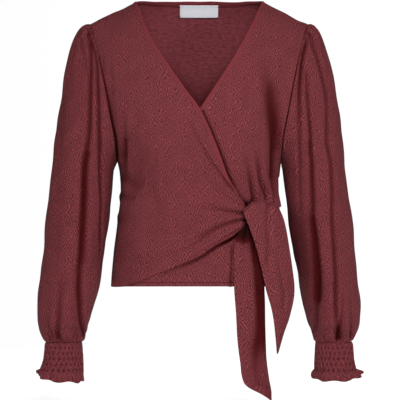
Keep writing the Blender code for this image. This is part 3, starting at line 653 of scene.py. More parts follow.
# ---------------------------------------------------------------- cloth as a mesh

def from_middle(grid):
    """Way to each point from the middle of its ring."""
    return grid - grid.mean(1, keepdims=True)


def unit(vectors):
    """The vectors at length one."""
    return vectors / np.linalg.norm(vectors, axis=-1, keepdims=True)


def grid_normals(grid, outward, loop=False):
    """Cross product of the differences down and across each point; outward turns them its way."""
    if loop:
        across = np.roll(grid, -1, 1) - np.roll(grid, 1, 1)
    else:
        across = np.gradient(grid, axis=1)
    normal = np.cross(np.gradient(grid, axis=0), across)
    normal /= np.maximum(np.linalg.norm(normal, axis=-1, keepdims=True), 1e-9)
    return normal if np.sum(normal * outward) > 0 else -normal


def turn_in(grid, normal, flat, edge, sink, shade):
    """Adds the turned edge of a seam: the edge's own points sink along the given normals, and a row
    folds in behind. Two pieces with the same normals meet all along it. shade multiplies the
    painted shade of its rows."""
    axis, flip = {"top": (0, False), "foot": (0, True), "first": (1, False),
                  "last": (1, True)}[edge]
    points, normals, maps = [np.moveaxis(array, axis, 0)[::-1 if flip else 1]
                             for array in (grid, normal, flat)]
    inside = unit(points[1] - points[0])
    rows = (points[0] - SEAM_TURN * sink, points[0] - SEAM_SOFT * sink,
            points[0] + 0.8 * inside - 0.25 * SEAM_SOFT * normals[0])
    folded = maps[[0, 0, 0]] + np.array((0, 0, 1.0)) * shade * np.array(SEAM_SHADE)[:, None, None]
    turned = (np.concatenate((np.array(rows), points[1:])),
              np.concatenate((sink[None], sink[None], normals)),
              np.concatenate((folded, maps[1:])))
    return [np.moveaxis(array[::-1 if flip else 1], 0, axis) for array in turned]


def add_piece(name, points, faces, maps, marks, finishes, outer=0):
    """Object of a smooth mesh from points in mm, arrays of quads and of triangles, each corner's
    place on the cut cloth in mm, and marks by point. All but the outer faces take the last
    finish."""
    corners = np.concatenate([part.ravel() for part in faces])
    counts = np.concatenate([np.full(len(part), part.shape[1]) for part in faces])
    mesh = bpy.data.meshes.new(name)
    mesh.vertices.add(len(points))
    mesh.vertices.foreach_set("co", (points * MM).ravel().astype(np.float32))
    mesh.loops.add(len(corners))
    mesh.loops.foreach_set("vertex_index", corners.astype(np.int32))
    mesh.polygons.add(len(counts))
    mesh.polygons.foreach_set("loop_start", (np.cumsum(counts) - counts).astype(np.int32))
    mesh.update(calc_edges=True)
    layer = mesh.uv_layers.new(name="cloth")
    layer.data.foreach_set("uv", (maps * MM).ravel().astype(np.float32))
    for title, values in marks.items():
        layer = mesh.attributes.new(title, "FLOAT", "POINT")
        layer.data.foreach_set("value", values.ravel().astype(np.float32))
    for finish in finishes:
        mesh.materials.append(finish_of(finish))
    second = (np.arange(len(counts)) >= outer) * (len(finishes) - 1)
    mesh.polygons.foreach_set("material_index", second.astype(np.int32))
    mesh.shade_smooth()
    mesh.validate()
    piece = bpy.data.objects.new(name, mesh)
    bpy.context.scene.collection.objects.link(piece)
    return piece


def facing_out(quads, points, outward):
    """Whether most of the quads' own normals point the given way."""
    first, second, third, fourth = (points[quads[:, corner]] for corner in range(4))
    return np.sum(np.cross(third - first, fourth - second) * outward[quads[:, 0]]) > 0


def cloth_object(name, outer, normal, flat, thickness, finishes, loop=False, stitch=NO_STITCH,
                 within=0.0):
    """Closed shell between a grid and the same grid moved in along its normals, joined at the rims.

    flat holds each point's place on the cut cloth, which becomes the UV map, and the depth of fold
    whose painted shade it gets, where within is what to add to that for the inner wall; stitch is
    the signed distance from a stitched line, all in mm. The outer wall takes the first finish, the
    inner wall and the rims the second.
    """
    count = outer[..., 0].size
    inner = outer - thickness / MM * normal
    index = np.arange(count).reshape(outer.shape[:2])
    corner_maps, painted_shade = flat[..., :2], flat[..., 2]
    if loop:
        index = np.concatenate((index, index[:, :1]), axis=1)
        last = 2 * corner_maps[:, -1:] - corner_maps[:, -2:-1]
        corner_maps = np.concatenate((corner_maps, last), axis=1)
    place = np.arange(index.size).reshape(index.shape)
    low, high = slice(None, -1), slice(1, None)
    corners = ((low, low), (low, high), (high, high), (high, low))
    front, front_map = [np.stack([numbers[c] for c in corners], -1).reshape(-1, 4)
                        for numbers in (index, place)]
    if not facing_out(front, outer.reshape(-1, 3), normal.reshape(-1, 3)):
        front, front_map = front[:, ::-1], front_map[:, ::-1]
    edges, edge_maps = [np.stack((quads, np.roll(quads, -1, 1)), -1).reshape(-1, 2)
                        for quads in (front, front_map)]
    key = np.sort(edges, 1) @ np.array((count, 1))
    _, first, seen = np.unique(key, return_index=True, return_counts=True)
    rim = first[seen == 1]
    start, end = edges[rim].T
    quads = np.concatenate((front, count + front[:, ::-1],
                            np.stack((end, start, start + count, end + count), -1)))
    maps = np.concatenate((front_map, front_map[:, ::-1], edge_maps[rim][:, [1, 0, 0, 1]]))
    marks = {"stitch_line": np.tile(np.broadcast_to(stitch, painted_shade.shape).ravel(), 2),
             "painted_shade_depth": np.stack((painted_shade, painted_shade + within))}
    return add_piece(name, np.concatenate((outer.reshape(-1, 3), inner.reshape(-1, 3))), [quads],
                     corner_maps.reshape(-1, 2)[maps.ravel()], marks, finishes, len(front))


def declare(piece, nodes):
    """Ties a piece to the frame: hides the parts that it replaces and attaches it to the body."""
    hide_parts(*nodes)
    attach(piece, "root")


# ---------------------------------------------------------------- finishes

def plug(tree, value, socket):
    """Gives an input a value or a link; a node stands for its first output in use."""
    if isinstance(value, bpy.types.Node):
        value = next(output for output in value.outputs if output.enabled)
    if isinstance(value, bpy.types.NodeSocket):
        tree.links.new(value, socket)
    else:
        socket.default_value = value


def node(tree, kind, **settings):
    """Adds a node. A setting is one of its properties, or an input by its name or number."""
    made = tree.nodes.new("ShaderNode" + kind)
    for name, value in settings.items():
        if hasattr(made, name):
            setattr(made, name, value)
        else:
            key = int(name[1:]) if name[1:].isdigit() else name.replace("_", " ")
            plug(tree, value, made.inputs[key])
    return made


def new_finish(name, roughness=0.85, sheen=0.0):
    """Material with a plain Principled shader and its constants, ready for a colour and bump."""
    finish = bpy.data.materials.new(name)
    finish.use_nodes = True
    shader = finish.node_tree.nodes["Principled BSDF"]
    for socket, value in (("Roughness", roughness), ("IOR", 1.5), ("Specular IOR Level", 0.12),
                          ("Sheen Weight", sheen), ("Sheen Roughness", 0.5)):
        shader.inputs[socket].default_value = value
    return finish, finish.node_tree, shader


def diamond_ribs(tree, uv, sizes):
    """Height from 0 to 1 of ribs that zigzag down the cloth and close into diamonds: a sine of two
    triangle waves, one of the place across and one of the place down, both moved by noise."""
    place = node(tree, "SeparateXYZ", Vector=uv)
    noises, phase = [], 0.0
    for axis, size, (grain, shift, lean) in zip(
            "XY", (sizes.diamond_width, sizes.diamond_height), RIB_WAVES):
        noises.append(node(tree, "TexNoise", Vector=uv, Scale=1 / grain, Detail=1.0))
        moved = node(tree, "Math", operation="MULTIPLY_ADD", _0=noises[-1], _1=shift,
                     _2=place.outputs[axis])
        wave = node(tree, "Math", operation="PINGPONG", _0=moved, _1=size / 2)
        phase = node(tree, "Math", operation="MULTIPLY_ADD", _0=wave,
                     _1=lean * 2 * math.pi / sizes.rib_spacing, _2=phase)
    wander = node(tree, "Math", operation="MULTIPLY_ADD", _0=noises[1], _1=RIB_WANDER, _2=phase)
    wave = node(tree, "Math", operation="SINE", _0=wander)
    return node(tree, "Math", operation="MULTIPLY_ADD", _0=wave, _1=0.5, _2=0.5), noises[0]


def with_painted_shade(tree, colour, sizes, colours):
    """Painted shade: the colour goes over into that of deep folds over the first depths of
    FOLD_DEPTHS, and into near black over the second, as no light comes so far in."""
    depth = node(tree, "Attribute", attribute_name="painted_shade_depth").outputs["Fac"]
    for (start, end, most), deep in zip(FOLD_DEPTHS, (colours.fold, (0.0, 0.0, 0.0))):
        share = node(tree, "MapRange", interpolation_type="SMOOTHSTEP", Value=depth,
                     From_Min=start, From_Max=end, To_Max=most * sizes.fold_shade)
        colour = node(tree, "Mix", data_type="RGBA", Factor=share, _6=colour, _7=(*deep, 1))
    return colour


def zigzag_jersey(sizes, colours):
    """Viscose crinkle jersey, matt, knitted with zigzag ribs: the ribs catch the light and the
    grooves between them stay dark, painted into the colour as light on the ribs and shade in the
    grooves, so the cloth looks finely crumpled. It is painted darker with shade in the folds and
    other places that get little light, and is pressed in along a stitched line."""
    finish, tree, shader = new_finish("crinkle_jersey_zigzag")
    uv = node(tree, "UVMap", uv_map="cloth")
    ribs, slow = diamond_ribs(tree, uv, sizes)
    grit = node(tree, "TexNoise", Vector=uv, Scale=1 / GRIT_GRAIN, Detail=1.0)
    part = node(tree, "Math", operation="MULTIPLY_ADD", _0=ribs, _1=RIB_PART[0], _2=RIB_PART[1])
    uneven = node(tree, "Math", operation="ADD", _0=grit, _1=part)
    line = node(tree, "Attribute", attribute_name="stitch_line").outputs["Fac"]
    near = node(tree, "Math", operation="ABSOLUTE", _0=line)
    pressed = node(tree, "MapRange", interpolation_type="SMOOTHSTEP", Value=near,
                   From_Min=STITCH_PRESS[0], From_Max=STITCH_PRESS[1])
    height = node(tree, "Math", operation="MULTIPLY", _0=uneven, _1=pressed)
    knit = node(tree, "Mix", data_type="RGBA", Factor=height, _6=(*colours.groove, 1),
                _7=(*colours.rib, 1))
    tone = node(tree, "MapRange", Value=slow, From_Min=TONES[0], From_Max=TONES[1],
                To_Min=TONES[2], To_Max=TONES[3])
    varied = node(tree, "HueSaturation", Value=tone, Color=knit)
    bump = node(tree, "Bump", Height=height, Distance=sizes.relief, Strength=0.9)
    plug(tree, with_painted_shade(tree, varied, sizes, colours), shader.inputs["Base Color"])
    plug(tree, bump, shader.inputs["Normal"])
    return finish


def grained(name, colour, shades, grain, bump, folds=None, **surface):
    """Finish with fine streaks: noise, whose grain is a length across and down in metres, mixes two
    shades of a colour, and its bump has a height and a strength. Given folds, it also takes the
    painted shade of folds and of places that get little light."""
    finish, tree, shader = new_finish(name, **surface)
    uv = node(tree, "UVMap", uv_map="cloth")
    place = node(tree, "Mapping", Vector=uv, Scale=(1 / grain[0], 1 / grain[1], 1))
    streaks = node(tree, "TexNoise", Vector=place, Scale=1.0, Detail=2.0)
    dark, light = [(*(shade * share for share in colour), 1) for shade in shades]
    mixed = node(tree, "Mix", data_type="RGBA", Factor=streaks, _6=dark, _7=light)
    relief = node(tree, "Bump", Height=streaks, Distance=bump[0], Strength=bump[1])
    plug(tree, with_painted_shade(tree, mixed, *folds) if folds else mixed, shader.inputs["Base Color"])
    plug(tree, relief, shader.inputs["Normal"])
    return finish


def wrong_side(sizes, colours):
    """Inner face of the same jersey: smoother, with the ribs' backs showing as fine uneven rows."""
    # painted shade: darker in folds, down inside the body and behind the neck's edges
    return grained("jersey_wrong_side", colours.wrong_side, (0.35, 1.65), (0.008, 0.004),
                   (0.0005, 0.8), folds=(sizes, colours))


def binding_jersey(sizes, colours):
    """Neck binding of the same jersey, stretched flat and topstitched: smoother than the body."""
    return grained("jersey_binding_stitched", colours.binding, (0.84, 1.1), (0.0012, 0.003),
                   (0.0003, 0.6))


def label_satin(sizes, colours):
    """Woven polyester satin ribbon: white, soft shine, very fine lengthwise threads."""
    return grained("satin_ribbon_white", colours.label, (0.94, 1.0), (0.004, 0.0006),
                   (0.0001, 0.5), roughness=0.45, sheen=0.1)


FINISHES = {
    "crinkle_jersey_zigzag": zigzag_jersey, "jersey_wrong_side": wrong_side,
    "jersey_binding_stitched": binding_jersey, "satin_ribbon_white": label_satin,
}
OUTER = ("crinkle_jersey_zigzag",)
BOTH_FACES = ("crinkle_jersey_zigzag", "jersey_wrong_side")


def finish_of(name):
    """The finish of that name, made once."""
    scene = bpy.context.scene
    return (bpy.data.materials.get(name)
            or FINISHES[name](scene.wrap_top_sizes, scene.wrap_top_colours))


# ---------------------------------------------------------------- panels

def front_edge(upper, lower):
    """A front's edge line; steps are shorter by the shoulder, where it curves most."""
    share = np.linspace(0, 1, EDGE_STEPS)
    share = EDGE_CROWD * share ** 2 + (1 - EDGE_CROWD) * share
    rest = np.linspace(0, 1, ARM_STEPS + SIDE_STEPS + 2 - EDGE_STEPS)[1:]
    return np.concatenate((along(upper, share), along(lower, rest)))


def front_over_grid():
    """The wearer's right front, which wraps over and is gathered at the knot."""
    edge = front_edge(NECK_EDGE_OVER, KNOT_END_OVER)
    columns = np.linspace(0, 1, OVER_COLUMNS + 1)
    columns = columns + OVER_CROWD * columns * (1 - columns)
    shoulder = straight((-SHOULDER_TIP, ARMHOLE_TOP), edge[0], columns)
    lower = along(LOWER_EDGE_OVER[::-1], columns)
    lower[-1], lower[0] = edge[-1], (-151, HEM)
    return patch(to_angle(shoulder), to_angle(lower), outer_edge(-1), to_angle(edge), columns)


def front_under_grid():
    """The wearer's left front, gathered at the knot, which runs on under the other front."""
    edge = to_angle(front_edge(NECK_EDGE_UNDER, HIDDEN_EDGE_UNDER))
    columns = np.linspace(0, 1, UNDER_COLUMNS + 1)
    shoulder = straight((SHOULDER_TIP, ARMHOLE_TOP), (NECK_HALF, 0), columns)
    foot_angle = 90 + columns * (edge[-1, 0] - 90)
    foot = np.column_stack((foot_angle, hem_height(foot_angle)))
    edge[-1] = foot[-1]
    return patch(to_angle(shoulder), foot, outer_edge(1), edge)


def over_rise(grid, points, strength):
    """Heights of the over front above the torso: of its form, which is the wrap's step, the pull
    out to the knot and the dive into it, and of its creases."""
    x, z = points[..., 0], points[..., 2]
    from_knot = np.hypot(x - KNOT_CENTRE[0], z - KNOT_CENTRE[1])
    deep, from_x, to_x, high = KNOT_DIVE
    rise = WRAP_STEP * smooth(grid[..., 0], *OVER_ANGLES) * smooth(z, *WRAP_HEIGHTS)
    rise += KNOT_STANDOFF * bell(from_knot, KNOT_REACH)
    rise -= deep * smooth(x, from_x, to_x) * bell(z, high, KNOT_CENTRE[1])
    broad = swells(x, z, SWELLS_OVER)
    shaded = SHADED_SWELL * np.minimum(broad, 0)
    return rise + broad - shaded, creases(x, z, CREASES_OVER, strength) + shaded


def under_rise(grid, points, strength):
    """Heights of the under front: sunk where the other front covers it, and its gathers."""
    x, z = points[..., 0], points[..., 2]
    rise = -WRAP_STEP * smooth(grid[..., 0], *UNDER_ANGLES) * smooth(z, *WRAP_HEIGHTS)
    rise -= HIDDEN_STEP * smooth(grid[..., 0], *HIDDEN_ANGLES)
    pits = swells(x, z, SWELLS_UNDER)
    return rise + np.maximum(pits, 0), np.minimum(pits, 0) + creases(x, z, CREASES_UNDER, strength)


def facing(back):
    """The way that the back's or the fronts' outer face looks."""
    return np.array((0, 1.0 if back else -1.0, 0))


def on_torso(grid, rise_of, back):
    """A panel's points and normals on the torso, its place on the cut cloth, its whole rise, and
    the part of it that its folds make."""
    points = torso(grid[..., 0], grid[..., 1], back)
    flat = cloth_map(grid[..., 0], grid[..., 1], back)
    form, folds = rise_of(grid, points, bpy.context.scene.wrap_top_sizes.fold_strength)
    rise = form + folds + WAVE_SHARE * waves(flat[..., 0], flat[..., 1])
    return points, grid_normals(points, facing(back)), flat, rise, folds


def panel(name, grid, rise_of, seams, node_name, back=False):
    """A torso panel: the grid laid on the torso, raised, faded to nothing at its armhole and side
    seams, with those seams turned in."""
    points, normal, flat, rise, folds = on_torso(grid, rise_of, back)
    from_seam = np.minimum.reduce([distance_from(points, edge) for edge in seams])
    # painted shade: the folds' depth and the shade beside the armhole seams darken the colour
    flat = np.dstack((flat, np.maximum(-folds, 0) + painted_seam_shade(points[..., 2], from_seam)))
    points = points + (rise * smooth(from_seam, 0, PANEL_FADE))[..., None] * normal
    normal = grid_normals(points, facing(back))
    points, normal, flat = turn_in(points, normal, flat, "top", seam_normals("top", grid, back),
                                   SHOULDER_SHADE)
    for edge in seams:
        shared = seam_normals(edge, grid, back)
        shared = np.concatenate((shared[[0, 0]], shared))
        seam = points[:, 0 if edge == "first" else -1]
        points, normal, flat = turn_in(points, normal, flat, edge, shared, seam_shade(seam))
    stitch = flat[..., 1] - HEM_STITCH - (NO_STITCH if name.endswith("over") else HEM_LIFT)
    piece = cloth_object(name, points, normal, flat, bpy.context.scene.wrap_top_sizes.cloth,
                         BOTH_FACES, stitch=stitch, within=inside_shade(points))
    declare(piece, [node_name])


def panel_edge(grid, rise_of, back=False):
    """A panel's points and normals after its folds, for what is sewn onto it."""
    points, normal, _, rise, _ = on_torso(grid, rise_of, back)
    points = points + rise[..., None] * normal
    return points, grid_normals(points, facing(back))


def seam_shade(seam):
    """How much painted shade a seam gets along its points: most in the lower half of the armhole,
    and least at the side seam."""
    height = seam[:, 2:]
    armhole = 1 - (1 - TOP_SEAM_SHADE) * smooth(height, *TOP_SEAM_HEIGHTS)
    side = SIDE_SEAM_SHADE + (1 - SIDE_SEAM_SHADE) * smooth(
        height, ARMHOLE_FOOT - 8, ARMHOLE_FOOT + 4)
    return armhole * side


def inside_shade(points):
    """How deep in shade the body's inside lies: more down in the body and by the neck's edges."""
    edge = np.asarray(NECK_EDGE_OVER, float)[::-1]
    half = -np.interp(points[..., 2], edge[:, 1], edge[:, 0])
    return (INSIDE_SHADE * (1 - smooth(points[..., 2], *INSIDE_HEIGHTS))
            + BEHIND_NECK_SHADE * smooth(np.abs(points[..., 0]) - half, -BEHIND_NECK_REACH, 0))


def painted_seam_shade(height, from_seam):
    """Depth of fold whose painted shade the cloth gets beside an armhole's seam: most where sleeve
    and body press together below the arm."""
    depth = through(SEAM_LINE, height)[..., 0]
    return depth * (1 - smooth(from_seam, 0.3 * SEAM_REACH, SEAM_REACH))


def torso_normal(angle, z, back=False):
    """Normal of the torso from its steps of one degree and one millimetre."""
    z = np.minimum(z, ARMHOLE_TOP - 1.5)
    across = torso(angle + 0.5, z, back) - torso(angle - 0.5, z, back)
    down = torso(angle, z - 0.5, back) - torso(angle, z + 0.5, back)
    normal = unit(np.cross(across, down))
    return np.where(normal[:, 1:2] * (1 if back else -1) < -1e-3, -normal, normal)


def armhole_normals(name, side):
    """Seam normals round an armhole, the front half and the back half from the top down: halfway
    between the torso's and the sleeve's own, and straight down where those hang back to back."""
    grid, turn = sleeve_points(name, side)
    of_sleeve = grid_normals(grid, from_middle(grid), loop=True)[0]
    edge = outer_edge(side)[:ARM_STEPS + 1]
    halves = (of_sleeve[:ARM_STEPS + 1], np.roll(of_sleeve, -1, 0)[::-1][:ARM_STEPS + 1])
    low = (edge[:, 1:] - ARMHOLE_TOP) / (ARMHOLE_FOOT - ARMHOLE_TOP)
    normals = []
    for own, back in zip(halves, (False, True)):
        of_torso = torso_normal(edge[:, 0], edge[:, 1], back)
        of_torso[-1] = (side, 0, 0)
        normals.append(unit(of_torso + own + (0, 0, -0.5) * low ** 4))
    return normals


def seam_normals(edge, grid, back):
    """Normals that the pieces at a panel's edge share: up at the shoulder, the armhole's own, and
    straight sideways at the side seam."""
    if edge == "top":
        angle, z = grid[0, :, 0], grid[0, :, 1]
        x = torso(angle, z, back)[:, 0]
        up = unit(np.column_stack((np.sign(x) * SHOULDER_SLOPE, 0 * x, 1 + 0 * x)))
        return np.where(np.abs(x)[:, None] < NECK_HALF - 1, facing(back), up)
    side = -1 if (edge == "first") == (grid[0, 0, 0] < 0) else 1
    name = "right" if side < 0 else "left"
    armhole = armhole_normals(name, side)[1 if back else 0]
    return np.concatenate((armhole, np.tile((side, 0.0, 0.0), (len(grid) - len(armhole), 1))))


def distance_from(points, edge):
    """Length over the cloth from one of a grid's edges, as the sum of the steps from it."""
    axis = 0 if edge in ("top", "foot") else 1
    step = np.linalg.norm(np.diff(points, axis=axis), axis=-1)
    first = np.zeros_like(step[:1]) if axis == 0 else np.zeros_like(step[:, :1])
    length = np.concatenate((first, np.cumsum(step, axis=axis)), axis=axis)
    if edge in ("foot", "last"):
        length = (length[-1:] if axis == 0 else length[:, -1:]) - length
    return length


def back_grid():
    """The back, from armhole to armhole, with its neck edge between the shoulders."""
    shoulder = straight((-SHOULDER_TIP, ARMHOLE_TOP), (-NECK_HALF, 0),
                        np.linspace(0, 1, SHOULDER_COLUMNS + 1))
    turn = np.radians(np.linspace(-90, 90, BACK_NECK_COLUMNS + 1))
    neck = np.column_stack((NECK_HALF * np.sin(turn), BACK_NECK * np.cos(turn)))
    top = np.concatenate((shoulder[:-1], neck, (shoulder * (-1, 1))[::-1][1:]))
    foot_angle = np.linspace(-90, 90, len(top))
    foot = np.column_stack((foot_angle, hem_height(foot_angle)))
    return patch(to_angle(top), foot, outer_edge(-1), outer_edge(1))


# ---------------------------------------------------------------- sleeves and cuffs

def armhole_ring(side):
    """Seam points of one armhole, from its top round the front and up the back."""
    edge = outer_edge(side)[:ARM_STEPS + 1]
    front = torso(edge[:, 0], edge[:, 1])
    rear = torso(edge[:, 0], edge[:, 1], back=True)
    return np.concatenate((front, rear[-2:0:-1]))


def sleeve_points(name, side):
    """Rings: an ellipse at each height of the table, and above them an eased blend from the
    armhole that turns down over the arm later at its top."""
    start = armhole_ring(side)
    count = len(start)
    turn = np.linspace(0, 2 * np.pi, count, endpoint=False)
    table = np.asarray(SLEEVES[name], float)
    heights = np.linspace(table[0, 0], table[-1, 0], SLEEVE_RINGS)
    outer, inner, depth, half_depth = through(table, heights).T
    middle, half = (outer + inner) / 2, (outer - inner) / 2
    ring_x = side * (middle[:, None] + half[:, None] * np.cos(turn))
    ring_y = depth[:, None] - half_depth[:, None] * np.sin(turn)
    rings = np.stack((ring_x, ring_y, np.repeat(heights[:, None], count, 1)), -1)
    share = np.linspace(0, 1, CAP_STEPS + 1)[:-1, None]
    top = (1 + np.cos(turn)) / 2
    ease = np.stack((share ** (1 - (1 - CAP_SPREAD) * top), share ** CAP_ROUND + 0 * top,
                     share ** (1 + (CAP_RISE - 1) * top)), -1)
    cap = start + (rings[0] - start) * ease
    return np.concatenate((cap, rings)), turn


def unrolled(grid):
    """Place on the unrolled sleeve in mm: round from the outer side, positive to the front, as the
    length of the level section through the point; and down, as the length of the outermost line
    from the foot up to the point's height."""
    rising = grid[::-1]
    levels = np.linspace(rising[0, :, 2].mean(), grid[..., 2].max(), 320)
    section = np.stack([[np.interp(levels, line[:, 2], line[:, axis]) for axis in (0, 1)]
                        for line in np.moveaxis(rising, 1, 0)])
    middle = grid.shape[1] // 2
    halves = section[:middle + 1], np.concatenate((section[:1], section[:middle:-1]))
    lengths = [np.cumsum(np.linalg.norm(np.diff(half, axis=0), axis=1), axis=0)
               for half in halves]
    lengths = np.concatenate((np.zeros((1, len(levels))), lengths[0], -lengths[1][::-1]))
    round_it = np.stack([np.interp(line[:, 2], levels, length)
                         for line, length in zip(np.moveaxis(grid, 1, 0), lengths)], 1)
    up = distance_from(grid, "foot")[::-1, 0]
    return np.stack((round_it, -np.interp(grid[..., 2], rising[:, 0, 2], up)), -1)


def on_sleeve(rows, grid, flat, half):
    """Crease rows whose points, given sideways and by height in one view, become places on the
    unrolled sleeve: each takes the nearest grid point of the half that faces the view."""
    columns = grid.shape[1] // 2
    chosen = slice(0, columns + 1) if half == "front" else slice(columns, None)
    view = np.abs(grid[:, chosen][..., (0, 2)].reshape(-1, 2)) * (1, -1)
    places = flat[:, chosen].reshape(-1, 2)
    moved = []
    for *numbers, points in rows:
        gaps = np.linalg.norm(view[None] - np.asarray(points, float)[:, None], axis=-1)
        moved.append((*numbers, places[gaps.argmin(1)]))
    return moved


def ripple(turn, count, sway, sways, phase=0.0):
    """Uneven waves round a ring: the cosine of the turn times a count, which a slower sine moves
    to and fro."""
    return np.cos(count * turn + sway * np.sin(sways * turn) + phase)


def sleeve(name, side):
    """One sleeve: rings with their creases, gathered into the armhole and into the cuff, with a
    seam along the inner side."""
    sizes = bpy.context.scene.wrap_top_sizes
    grid, turn = sleeve_points(name, side)
    outward = from_middle(grid)
    normal = grid_normals(grid, outward, loop=True)
    flat = unrolled(grid)
    from_top, from_foot = distance_from(grid, "top"), -flat[..., 1]
    rise = np.zeros(grid.shape[:2])
    for half in ("front", "back"):
        rows = on_sleeve(CREASES_SLEEVE[name, half], grid, flat, half)
        rise += creases(flat[..., 0], flat[..., 1], rows, sizes.fold_strength)
    over_arm = smooth((1 + np.cos(turn)) / 2, 0.7, 0.97)
    rise += ripple(turn, *CAP_GATHERS) * over_arm * bell(from_top, *CAP_REACH)
    gathers = ripple(turn, *FOOT_GATHERS) + 0.6 * np.cos(37 * turn + 1)
    rise += FOOT_HEIGHT * gathers * bell(from_foot, *FOOT_REACH)
    half_girth = np.abs(flat[:, grid.shape[1] // 2, 0])[:, None]
    rise = rise - SLEEVE_SEAM[0] * bell(np.abs(flat[..., 0]), SLEEVE_SEAM[1], half_girth)
    rise *= smooth(from_top, 0, 7) * smooth(from_foot, 0, 5)
    height, (above, below) = grid[..., 2], INNER_FADES
    beside = INNER_SHADE[name] * smooth(-np.cos(turn), 0, 0.5)
    beside = beside * (1 - smooth(height, *above)) * smooth(height, *below)
    # painted shade: in the creases, over the whole sleeve, on its side next to the body and beside
    # the armhole's seam
    painted_shade = np.maximum(-rise, 0) + SLEEVE_SHADE + beside + painted_seam_shade(height, from_top)
    rise += waves(flat[..., 0] + 90 * side, flat[..., 1]) * smooth(from_top, 0, 12)
    points = grid + rise[..., None] * normal
    normal = grid_normals(points, outward, loop=True)
    front, rear = armhole_normals(name, side)
    points, normal, flat = turn_in(points, normal, np.dstack((flat, painted_shade)), "top",
                                   np.concatenate((front, rear[-2:0:-1])), seam_shade(points[0]))
    points, normal, flat = turn_in(points, normal, flat, "foot", cuff_normals(turn, side), 0)
    piece = cloth_object("jersey_sleeve_" + name, points, normal, flat, sizes.cloth, BOTH_FACES,
                         loop=True)
    declare(piece, ["sleeve_" + name])


def cuff_normals(turn, side):
    """Level normals of an ellipse about as wide as the cuff, which sleeve and cuff share."""
    half_width, half_depth = CUFF_HALVES
    return unit(np.column_stack((side * half_depth * np.cos(turn), -half_width * np.sin(turn),
                                 0 * turn)))


def cuff_rings(name, side, turn, share, wave):
    """Rings of the table, and past its last row a ruffle that drops as the sine of the turn and
    flares to its sides. share runs from 0 at the last elastic thread to 1 at the edge."""
    table = np.asarray(CUFFS[name], float)
    height = np.concatenate((np.linspace(table[0, 0], table[-1, 0], CUFF_ROWS + 1),
                             np.full(RUFFLE_ROWS, table[-1, 0])))
    outer, inner, half_depth = through(table, height).T[..., None]
    cosine, sine = np.cos(turn), np.sin(turn)
    out_flare, out_drop, in_flare, in_drop, front_drop = RUFFLES[name]
    outside, within = np.maximum(cosine, 0) ** 2, np.maximum(-cosine, 0) ** 2
    flare = out_flare * outside + in_flare * within + RUFFLE_FRONT_FLARE * sine ** 2
    drop = out_drop * outside + in_drop * within + front_drop * np.abs(sine) ** 0.9
    flare, drop = flare + RUFFLE_WAVE[0] * wave, drop + RUFFLE_WAVE[1] * wave
    flare = flare * np.sin(0.5 * np.pi * share) ** 0.8
    x = side * ((outer + inner) / 2 + ((outer - inner) / 2 + flare) * cosine)
    y = CUFF_DEPTH - (half_depth + flare) * sine
    return np.stack((x, y, height[:, None] - drop * share), -1), height[:, None]


def cuff(name, side):
    """Shirred cuff: the cloth puffs out between elastic threads and dips at them in puckers,
    cosines round the ring that shift from thread to thread, and opens into its ruffle."""
    sizes = bpy.context.scene.wrap_top_sizes
    turn = np.linspace(0, 2 * np.pi, CUFF_COLUMNS, endpoint=False)
    share = np.concatenate((np.zeros(CUFF_ROWS + 1),
                            np.linspace(0, 1, RUFFLE_ROWS + 1)[1:]))[:, None]
    points, height = cuff_rings(name, side, turn, share,
                                ripple(turn, sizes.ruffle_waves, 1.2, 2, side))
    outward = from_middle(points)
    normal = grid_normals(points, outward, loop=True)
    drop = height[0] - height
    down = sizes.shirr_rows * drop / drop[-1]
    thread = np.round(down)
    shift = np.pi * thread + 0.9 * np.sin(2.1 * thread + 1.0)
    pull = (0.5 + 0.5 * np.cos(2 * np.pi * down)) ** 0.7 * (1 - smooth(share, 0, 0.3))
    pucker = (0.5 + 0.5 * ripple(turn, sizes.shirr_puckers, 1.2, 3, shift)) ** 2
    rise = PUFF_HEIGHT - PUCKER_DEPTH * pull * pucker
    rise = rise + PUFF_HEIGHT * ripple(turn, *PUFFS, 0.8 * down) * (1 - share)
    rise = rise * smooth(drop, 0, 3) * (1 - smooth(share, 0, 0.6))
    rise = rise + share * CRINKLE_HEIGHT * ripple(turn, *RUFFLE_CRINKLE)
    points = points + rise[..., None] * normal
    normal = grid_normals(points, outward, loop=True)
    round_it = CUFF_GIRTH * np.where(turn > np.pi, turn - 2 * np.pi, turn) / (2 * np.pi)
    # painted shade in the puckers, in the ruffle's hollows and along its edge
    painted_shade = CUFF_SHADE * pull * pucker + RUFFLE_SHADE * smooth(-rise, 0.1, 0.9) * (share > 0.1)
    painted_shade = painted_shade + RUFFLE_SHADE * smooth(share, 0.86, 1.0)
    flat = np.stack(np.broadcast_arrays(round_it, distance_from(points, "top"), painted_shade), -1)
    points, normal, flat = turn_in(points, normal, flat, "top", cuff_normals(turn, side), 0)
    piece = cloth_object("shirred_cuff_" + name, points, normal, flat, sizes.cloth, BOTH_FACES,
                         loop=True)
    declare(piece, ["cuff_" + name])


# ---------------------------------------------------------------- neck edges, knot and ties

